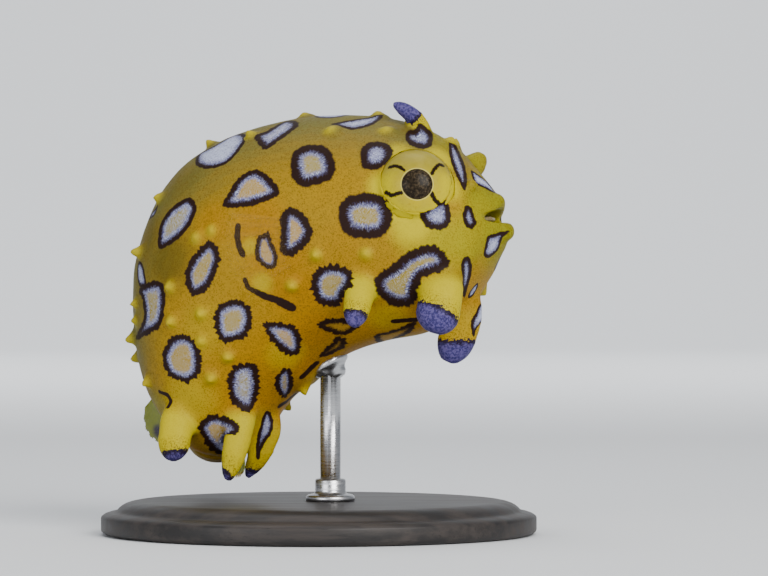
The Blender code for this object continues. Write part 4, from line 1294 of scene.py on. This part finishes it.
IRIS_LOW, IRIS_HIGH = (0.42, 0.33, 0.005, 1.0), (0.25, 0.205, 0.018, 1.0)
IRIS_CLOUD = (0.33, 0.27, 0.04, 1.0)
IRIS_EDGE = (0.48, 0.40, 0.0, 1.0)
IRIS_SPECK = (0.22, 0.14, 0.01, 1.0)
IRIS_STROKE = (0.012, 0.006, 0.002, 1.0)
PUPIL_DARK, PUPIL_SPECK = (0.010, 0.007, 0.004, 1.0), (0.06, 0.042, 0.022, 1.0)
PUPIL_HALO = (0.62, 0.54, 0.16, 1.0)


def eye_finish():
    """A pale golden iris, a dark speckled pupil with a thin light ring, and a wet gloss."""
    eye = Finish("burrfish_eye", Coat_Weight=0.05, Coat_Roughness=0.15, Specular_IOR_Level=0.06,
                 Roughness=0.35)
    place = eye.place()
    radius = eye.attribute("pupil_off")
    rise = eye.attribute("eye_rise")
    fine = eye.noise(place, 5200.0, 3.0, 0.7)
    broad = eye.noise(place, 900.0, 3.0, 0.6)
    iris = eye.mix(eye.ease(rise, -0.4, 1.8), IRIS_LOW, IRIS_HIGH)
    iris = eye.mix(eye.ease(broad, 0.35, 0.65, 0.0, 0.4), iris, IRIS_CLOUD)
    outside = eye.times(eye.ease(radius, 1.5, 2.3), eye.ease(rise, 1.4, 0.2))
    iris = eye.mix(outside, iris, IRIS_EDGE)
    iris = eye.mix(eye.ease(fine, 0.5, 0.75, 0.0, 0.4), iris, IRIS_SPECK)
    stroke = eye.plus(eye.attribute("eye_line"), eye.about(fine, 0.3))
    iris = eye.mix(eye.ease(stroke, 0.05, -0.04), iris, IRIS_STROKE)
    pupil = eye.mix(eye.ease(fine, 0.42, 0.70), PUPIL_DARK, PUPIL_SPECK)
    halo = eye.ease(radius, PUPIL_RADIUS + 0.12, PUPIL_RADIUS + 0.07)
    inside = eye.ease(radius, PUPIL_RADIUS + 0.06, PUPIL_RADIUS)
    eye.colour(eye.mix(inside, eye.mix(eye.times(halo, 0.6), iris, PUPIL_HALO), pupil))
    eye.bump(fine, 0.15, 0.00004)
    return eye.material


def eye_line_distance(place):
    """From a flat place on the iris to the edge of the nearest stroke, negative in it."""
    return min(nearest_on([Vector(point) for point in line], place, False)[0] - half
               for half, line in EYE_LINES)


def build_eyes():
    """Two balls; the pupil of the one that is seen shows at PUPIL_AT."""
    finish = eye_finish()
    centre, _ = eye_centre(1)
    tree = tree_of(ball(centre, EYE_BALL, 64, 48))
    sight = (seen_at(*PUPIL_AT) - SIGHT_FROM).normalized()
    hit, _, _, _ = tree.ray_cast(SIGHT_FROM, sight)
    right_gaze = (hit - centre).normalized()
    for name, side in (("eye_right", 1), ("eye_left", -1)):
        centre, normal = eye_centre(side)
        gaze = right_gaze if side == 1 else normal
        up = (Vector((0, 0, 1)) - gaze * gaze.z).normalized()
        across = up.cross(gaze).normalized()
        bm = ball(Vector(), EYE_BALL, 128, 96)
        turn = gaze.to_track_quat("Z", "Y").to_matrix().to_4x4()
        bmesh.ops.transform(bm, matrix=turn, verts=bm.verts[:])
        off, lines, rises = [], [], []
        for vert in bm.verts:
            flat = Vector((vert.co.dot(across), vert.co.dot(up)))
            ahead = vert.co.dot(gaze) > 0
            mirrored = Vector((flat.x * side, flat.y))
            off.append(flat.length if ahead else OFF_EYE)
            lines.append(eye_line_distance(mirrored) if ahead else OFF_EYE)
            rises.append(flat.y)
            if flat.length < PUPIL_RADIUS and ahead:
                vert.co += gaze * PUPIL_RISE * ease(PUPIL_RADIUS, PUPIL_RADIUS * 0.8, flat.length)
        bmesh.ops.translate(bm, vec=centre, verts=bm.verts[:])
        piece = finish_piece(name, bm, [finish], [name])
        keep_values(piece.data, pupil_off=off, eye_line=lines, eye_rise=rises)


# Beak

# Horn darkened from ivory to tan: painted shade, so that the beak shows as the mouth's dark slit.
SHADED_HORN_PALE, SHADED_HORN_DARK = (0.34, 0.27, 0.14, 1.0), (0.22, 0.16, 0.07, 1.0)
BEAK_GAP_HALF = 0.12


def beak_finish():
    """Glossy horn with darker streaks, its ivory darkened to tan as painted shade of the mouth's slit.
    """
    beak = Finish("burrfish_beak", Specular_IOR_Level=0.6, Coat_Weight=0.3, Coat_Roughness=0.1)
    lines = beak.noise(beak.place(), 3000.0, 3.0, 0.6)
    beak.colour(beak.mix(beak.ease(lines, 0.35, 0.7), SHADED_HORN_PALE, SHADED_HORN_DARK))
    beak.rough(beak.ease(lines, 0.3, 0.7, 0.22, 0.34))
    beak.bump(lines, 0.3, 0.00003)
    return beak.material


def build_beak():
    """Two fused tooth plates with a fine gap between them."""
    bm = ball(Vector(), 1.0, 40, 28)
    lower = bm.copy()
    for work, up in ((bm, 1.0), (lower, -1.0)):
        cut = bmesh.ops.bisect_plane(
            work, geom=work.verts[:] + work.edges[:] + work.faces[:], dist=1e-5,
            plane_co=(0, 0, BEAK_GAP_HALF * up), plane_no=(0, 0, -up), clear_outer=True,
        )["geom_cut"]
        rim = [item for item in cut if isinstance(item, bmesh.types.BMEdge)]
        bmesh.ops.edgeloop_fill(work, edges=rim)
        bmesh.ops.recalc_face_normals(work, faces=work.faces[:])
    add_to(bm, lower)
    in_mouth(bm, -BEAK_BACK, (BEAK_HALF, BEAK_LENGTH, BEAK_HEIGHT))
    finish_piece("beak_plates", bm, [beak_finish()], ["beak"])


# Fins

FIN_ROWS = 18
PAIRED_FILM, PAIRED_ROOT = 0.06, 0.14
UPRIGHT_FILM, UPRIGHT_ROOT = 0.08, 0.7
RAY_SIDES = 8
PLEAT = 0.04
FLESH_PALE, FLESH_DARK = (0.19, 0.21, 0.003, 1.0), (0.10, 0.12, 0.002, 1.0)
CLEAREST = 0.012


def fin_finish():
    """A fleshy yellow root that turns into clear, faintly golden film between fine rays."""
    film = Finish("fin_film", Roughness=0.25, Specular_IOR_Level=0.5)
    place = film.place()
    fine = film.noise(place, 2600.0, 3.0, 0.6)
    clear = film.plus(film.attribute("clear"), film.about(fine, 0.3))
    flesh = film.mix(film.attribute("blot"), film.mix(fine, FLESH_PALE, FLESH_DARK), srgb(34, 26, 44))
    film.colour(film.mix(film.ease(clear, 0.2, 0.8), flesh, srgb(200, 160, 50)))
    film.set(film.shader.inputs["Alpha"], film.ease(clear, 0.25, 0.85, 1.0, CLEAREST))
    film.bump(fine, 0.3, 0.00004)
    return film.material


def ray_finish():
    """Jointed golden rays, clearer where the film round them is clear."""
    ray = Finish("fin_rays", Roughness=0.2, Specular_IOR_Level=0.8)
    joints = ray.noise(ray.place(), 3400.0, 2.0, 0.6)
    ray.colour(ray.mix(joints, srgb(246, 214, 110), srgb(200, 150, 40)))
    shown = ray.times(ray.ease(joints, 0.3, 0.7, 0.10, 0.32), ray.attribute("ray_shown"))
    ray.set(ray.shader.inputs["Alpha"], shown)
    ray.bump(joints, 0.4, 0.00003)
    return ray.material


def fan_fin(root, base, out, length, spread, bow, rounding=0.16):
    """A fan from a base line: base is its half length as a vector, out its direction."""
    def place(fan, along):
        across = 2 * fan - 1
        tilt = across * spread
        direction = out * math.cos(tilt) + base.normalized() * math.sin(tilt)
        round_edge = 1.0 - rounding * across * across
        side = out.cross(base).normalized()
        curve = side * bow * (along**2)
        return root + base * across - out * ROOT_DEPTH * (1 - along) + (
            direction * length * round_edge * along + curve)
    return place


def fin_side(place, fan, along):
    """Which way a fin's film faces at a place."""
    slope = place(min(1.0, fan + 0.01), along) - place(max(0.0, fan - 0.01), along)
    length = place(fan, min(1.0, along + 0.01)) - place(fan, max(0.0, along - 0.01))
    return slope.cross(length).normalized()


def fin_ray(place, rays, fan, fork, radius):
    """One branch of a ray, which leaves its twin near the fin's edge."""
    rings = []
    for step in range(FIN_ROWS + 1):
        along = step / FIN_ROWS
        at = fan + fork * 0.25 / rays * ease(0.45, 1.0, along)
        centre = place(at, along * 0.99)
        lift = fin_side(place, at, along)
        ahead = place(at, min(1.0, along + 0.02)) - place(at, max(0.0, along - 0.02))
        side = ahead.cross(lift).normalized()
        thick = radius * (1.3 - 0.75 * along)
        rings.append(oval(centre, side * thick, lift * thick, RAY_SIDES))
    tube = loft(rings)
    for face in tube.faces:
        face.material_index = 1
    return tube


def fin_shape(place, rays, film, root):
    """A closed film, thick at its root and gently pleated, and rays that fork near its edge."""
    bm = bmesh.new()
    rims = []
    for face_side in (1, -1):
        verts = bmesh.ops.create_grid(bm, x_segments=6 * rays, y_segments=FIN_ROWS, size=1.0)["verts"]
        rims += [edge for vert in verts for edge in vert.link_edges if edge.is_boundary]
        for vert in verts:
            fan, along = (vert.co.x + 1) / 2, (vert.co.y + 1) / 2
            between = abs(math.sin(math.pi * fan * rays))
            side = fin_side(place, fan, along)
            thick = film + (root - film) * ease(0.75, 0.1, along)
            vert.co = place(fan, along * (1.0 - 0.05 * between))
            vert.co += side * (face_side * thick / 2 + PLEAT * between * along)
    bmesh.ops.bridge_loops(bm, edges=list(set(rims)))
    for k in range(rays):
        for fork in (-1, 1):
            add_to(bm, fin_ray(place, rays, (k + 0.5) / rays, fork, film))
    return bm


# The dark blot on the dorsal fin's flesh: its share of the rays and of the length, and its reach.
BLOT_FAN, BLOT_ALONG, BLOT_REACH = 0.42, 0.80, 0.75
TAIL_FIN_LENGTH, TAIL_FIN_HALF, TAIL_FIN_RAYS = 4.6, 1.1, 8
PAIRED_LENGTH, PAIRED_HALF, PAIRED_RAYS = 4.6, 1.7, 8
# The upright fins' name, station, turn, length, half breadth at the root and number of rays.
UPRIGHT_FINS = (
    ("dorsal_fin", DORSAL_STATION, 0.0, 3.6, 1.4, 6),
    ("anal_fin", ANAL_STATION, 180.0, 1.9, 0.8, 5),
)


def fin_places():
    """Each fin's function from fan and length to a place, and its number of rays."""
    end, direction = bezier(tuple(Vector(point) for point in STALK), 1.0)
    rise = (STALK_UP - direction * STALK_UP.dot(direction)).normalized()
    root = end + direction * (0.3 + ROOT_DEPTH * 0.6)
    tail = fan_fin(root, rise * TAIL_FIN_HALF, direction, TAIL_FIN_LENGTH, math.radians(20), 0.5)
    fins = {"tail_fin": (tail, TAIL_FIN_RAYS)}
    for name, station, turn, length, half, rays in UPRIGHT_FINS:
        root, normal, forward = skin_frame(station, turn)
        out = (normal - forward * 0.35).normalized()
        base = (forward - out * forward.dot(out)).normalized() * half
        fins[name] = fan_fin(root, base, out, length, math.radians(14), 0.25, 0.4), rays
    for name, turn in PECTORAL_TURNS.items():
        side = math.copysign(1.0, turn)
        root, normal, forward = skin_frame(PECTORAL_STATION, turn)
        out = (normal * 0.7 - forward).normalized()
        base = normal.cross(forward).normalized() * side * PAIRED_HALF
        fins[name] = fan_fin(root, base, out, PAIRED_LENGTH, math.radians(26), side * 0.4), PAIRED_RAYS
    return fins


def build_fins():
    finishes = [fin_finish(), ray_finish()]
    for name, (place, rays) in fin_places().items():
        paired, dorsal = name in PECTORAL_TURNS, name == "dorsal_fin"
        sizes = (PAIRED_FILM, PAIRED_ROOT) if paired else (UPRIGHT_FILM, UPRIGHT_ROOT)
        bm = fin_shape(place, rays, *sizes)
        start = place(0.5, 0.0)
        reach = (place(0.5, 1.0) - start).length
        blot_at = place(BLOT_FAN, BLOT_ALONG)
        clear, blots, shown = [], [], []
        for vert in bm.verts:
            share = (vert.co - start).length / reach
            edge = 0.0 if dorsal else ease(0.75, 1.1, share)
            clear.append(1.0 if paired else edge)
            shown.append(0.08 + 0.4 * ease(0.5, 0.95, share) if paired else 1.0)
            blots.append(ease(BLOT_REACH, 0.3, (vert.co - blot_at).length) if dorsal else 0.0)
        piece = finish_piece(name + "_film", bm, finishes, [name])
        keep_values(piece.data, clear=clear, blot=blots, ray_shown=shown)


# Stand

BASE_LENGTH, BASE_WIDTH, BASE_HEIGHT = 34.0, 32.0, 2.6
ROD_RADIUS, ROD_X = 0.8, 0.9
# The rod starts this high inside its collar and ends this deep in the fish.
ROD_OVERLAP, ROD_SUNK = 0.2, 0.3
# Share of the base's half size, and height, from the underside up to the edge of its flat top.
BASE_PROFILE = (
    (0.955, 0.0), (0.96, 0.0), (0.985, 0.1), (0.998, 0.28), (1.0, 0.4), (1.0, 1.3), (0.998, 1.42),
    (0.985, 1.58), (0.965, 1.70), (0.945, 1.76), (0.933, 1.82), (0.926, 1.90), (0.918, 2.06),
    (0.905, 2.24), (0.89, 2.38), (0.872, 2.49), (0.852, 2.56), (0.835, 2.595), (0.828, 2.6),
    (0.822, 2.6),
)
# Radius and height: the collar's above the base, the saddle's above its place on the skin.
COLLAR_PROFILE = (
    (1.9, -0.05), (1.9, 0.32), (1.84, 0.42), (1.72, 0.5), (1.35, 0.58), (1.24, 0.66), (1.2, 0.8),
    (1.2, 1.6), (1.14, 1.7), (1.0, 1.76), (ROD_RADIUS * 0.9, 1.77),
)
SADDLE_PROFILE = (
    (1.5, -0.45), (1.55, 0.0), (1.52, 0.16), (1.4, 0.28), (1.12, 0.44), (0.9, 0.66),
    (0.82, 0.95), (0.6, 1.2),
)
BASE_SIDES, ROD_SIDES = 160, 72


def base_finish():
    """Black-stained wood under a satin lacquer, its grain just showing."""
    wood = Finish("stand_base_wood", Coat_Weight=0.10, Coat_Roughness=0.3, Specular_IOR_Level=0.3)
    grain = wood.noise(wood.stretched((60.0, 900.0, 900.0)), 1.0, 5.0, 0.65)
    pores = wood.noise(wood.stretched((300.0, 4200.0, 4200.0)), 1.0, 3.0, 0.7)
    colour = wood.mix(wood.ease(grain, 0.35, 0.7), srgb(30, 28, 28), srgb(56, 50, 47))
    wood.colour(wood.mix(wood.ease(pores, 0.58, 0.7, 0.0, 0.6), colour, srgb(16, 14, 14)))
    wood.rough(wood.ease(grain, 0.3, 0.7, 0.46, 0.62))
    wood.bump(wood.plus(grain, pores), 0.25, 0.00005)
    return wood.material


def steel_finish():
    """Steel turned on a lathe: fine rings round it."""
    steel = Finish("stand_rod_steel", Metallic=1.0, Anisotropic=0.4)
    rings = steel.noise(steel.stretched((300.0, 300.0, 9000.0)), 1.0, 3.0, 0.6)
    wear = steel.noise(steel.place(), 700.0, 3.0)
    steel.colour(steel.mix(wear, srgb(196, 196, 198), srgb(160, 161, 164)))
    steel.rough(steel.ease(rings, 0.3, 0.7, 0.22, 0.36))
    steel.bump(rings, 0.3, 0.00003)
    return steel.material


def build_stand():
    """An oval base with a moulded edge, and a rod with a collar that carries the fish by a saddle."""
    bm = turned(BASE_PROFILE, BASE_SIDES)
    bmesh.ops.scale(bm, vec=(BASE_LENGTH / 2, BASE_WIDTH / 2, 1.0), verts=bm.verts[:])
    finish_piece("base_oval", bm, [base_finish()], ["stand_base"])
    up = Vector((0, 0, 1))
    foot = in_plane(ROD_X, 0)
    touch, facing, _, _ = tree_of(body_shape()).ray_cast(foot + up * BASE_HEIGHT, up)
    stem = ((ROD_RADIUS, BASE_HEIGHT + ROD_OVERLAP), (ROD_RADIUS, touch.z + ROD_SUNK))
    collar = [(radius, BASE_HEIGHT + height) for radius, height in COLLAR_PROFILE]
    rod = loose_object("rod_work", stand_on(turned(stem, ROD_SIDES), foot, up))
    combine(rod, "UNION", [
        loose_object("collar", stand_on(turned(collar, ROD_SIDES), foot, up)),
        loose_object("saddle", stand_on(turned(SADDLE_PROFILE, ROD_SIDES), touch, facing)),
    ])
    bm = bmesh.new()
    bm.from_mesh(rod.data)
    drop(rod)
    finish_piece("rod_steel", bm, [steel_finish()], ["stand_rod"])


# Studio

# The floor's half width, its front edge, where it starts to rise, and that bend's radius, in metres.
FLOOR_HALF, FLOOR_FRONT, FLOOR_BACK, FLOOR_BEND = 2.5, -1.2, 0.9, 0.7
BACKDROP_HEIGHT = 1.6
MODEL_MIDDLE = (0.0, 0.0, 0.018)
# Name, place, size in metres, watts, colour and what each lamp is aimed at.
LAMPS = (
    ("key", (0.26, -0.46, 0.28), 0.32, 4.4, (1.0, 0.98, 0.95), MODEL_MIDDLE),
    ("fill", (-0.34, -0.44, 0.08), 0.36, 1.7, (0.98, 0.99, 1.0), MODEL_MIDDLE),
    ("top", (-0.02, 0.12, 0.55), 0.40, 1.6, (1.0, 1.0, 1.0), MODEL_MIDDLE),
    ("backdrop", (0.0, 0.45, 0.75), 0.8, 14.0, (1.0, 1.0, 1.0), (0.0, 1.6, 0.35)),
)


def build_floor():
    """Pale paper that lies flat and curves up into a backdrop."""
    bm = bmesh.new()
    start = bm.verts.new((-FLOOR_HALF, FLOOR_FRONT, 0.0))
    end = bm.verts.new((-FLOOR_HALF, FLOOR_BACK, 0.0))
    bm.edges.new((start, end))
    bmesh.ops.spin(bm, geom=[end], cent=(-FLOOR_HALF, FLOOR_BACK, FLOOR_BEND), axis=(1, 0, 0),
                   angle=math.radians(90), steps=24)
    rim = max(bm.verts, key=lambda vert: vert.co.y + vert.co.z)
    top = bmesh.ops.extrude_vert_indiv(bm, verts=[rim])["verts"]
    bmesh.ops.translate(bm, vec=(0, 0, BACKDROP_HEIGHT), verts=top)
    side = bmesh.ops.extrude_edge_only(bm, edges=bm.edges[:])["geom"]
    moved = [item for item in side if isinstance(item, bmesh.types.BMVert)]
    bmesh.ops.translate(bm, vec=(2 * FLOOR_HALF, 0, 0), verts=moved)
    bmesh.ops.recalc_face_normals(bm, faces=bm.faces[:])
    for face in bm.faces:
        face.smooth = True
    mesh = mesh_of("studio_floor", bm)
    paper = Finish("studio_paper", Roughness=0.9)
    tone = paper.noise(paper.place(), 3.0, 3.0)
    paper.colour(paper.mix(tone, srgb(222, 224, 226), srgb(214, 217, 220)))
    mesh.materials.append(paper.material)
    in_scene("studio_floor", mesh)


def aim(obj, place, target):
    """Sets a lamp at its place and turns it to its target."""
    obj.location = place
    obj.rotation_euler = (Vector(target) - Vector(place)).to_track_quat("-Z", "Y").to_euler()


def build_studio():
    """The floor, soft lights, and a camera at the photograph's angle."""
    build_floor()
    for name, place, size, power, tint, target in LAMPS:
        lamp = bpy.data.lights.new(name, "AREA")
        lamp.size = size
        lamp.energy = power
        lamp.color = tint
        aim(in_scene(name, lamp), place, target)
    world = bpy.data.worlds.new("studio")
    world.use_nodes = True
    background = world.node_tree.nodes["Background"]
    background.inputs["Color"].default_value = (0.92, 0.95, 1.0, 1.0)
    background.inputs["Strength"].default_value = 0.45
    bpy.context.scene.world = world
    camera = bpy.data.cameras.new("front")
    camera.lens = 180.0
    camera.sensor_width = 36.0
    camera.clip_start, camera.clip_end = 0.01, 20.0
    obj = in_scene("front", camera)
    obj.location = SIGHT_FROM * MM_TO_M
    obj.rotation_euler = (math.radians(90), 0, 0)
    bpy.context.scene.camera = obj


build_skin()
build_eyes()
build_beak()
build_fins()
build_stand()
build_studio()
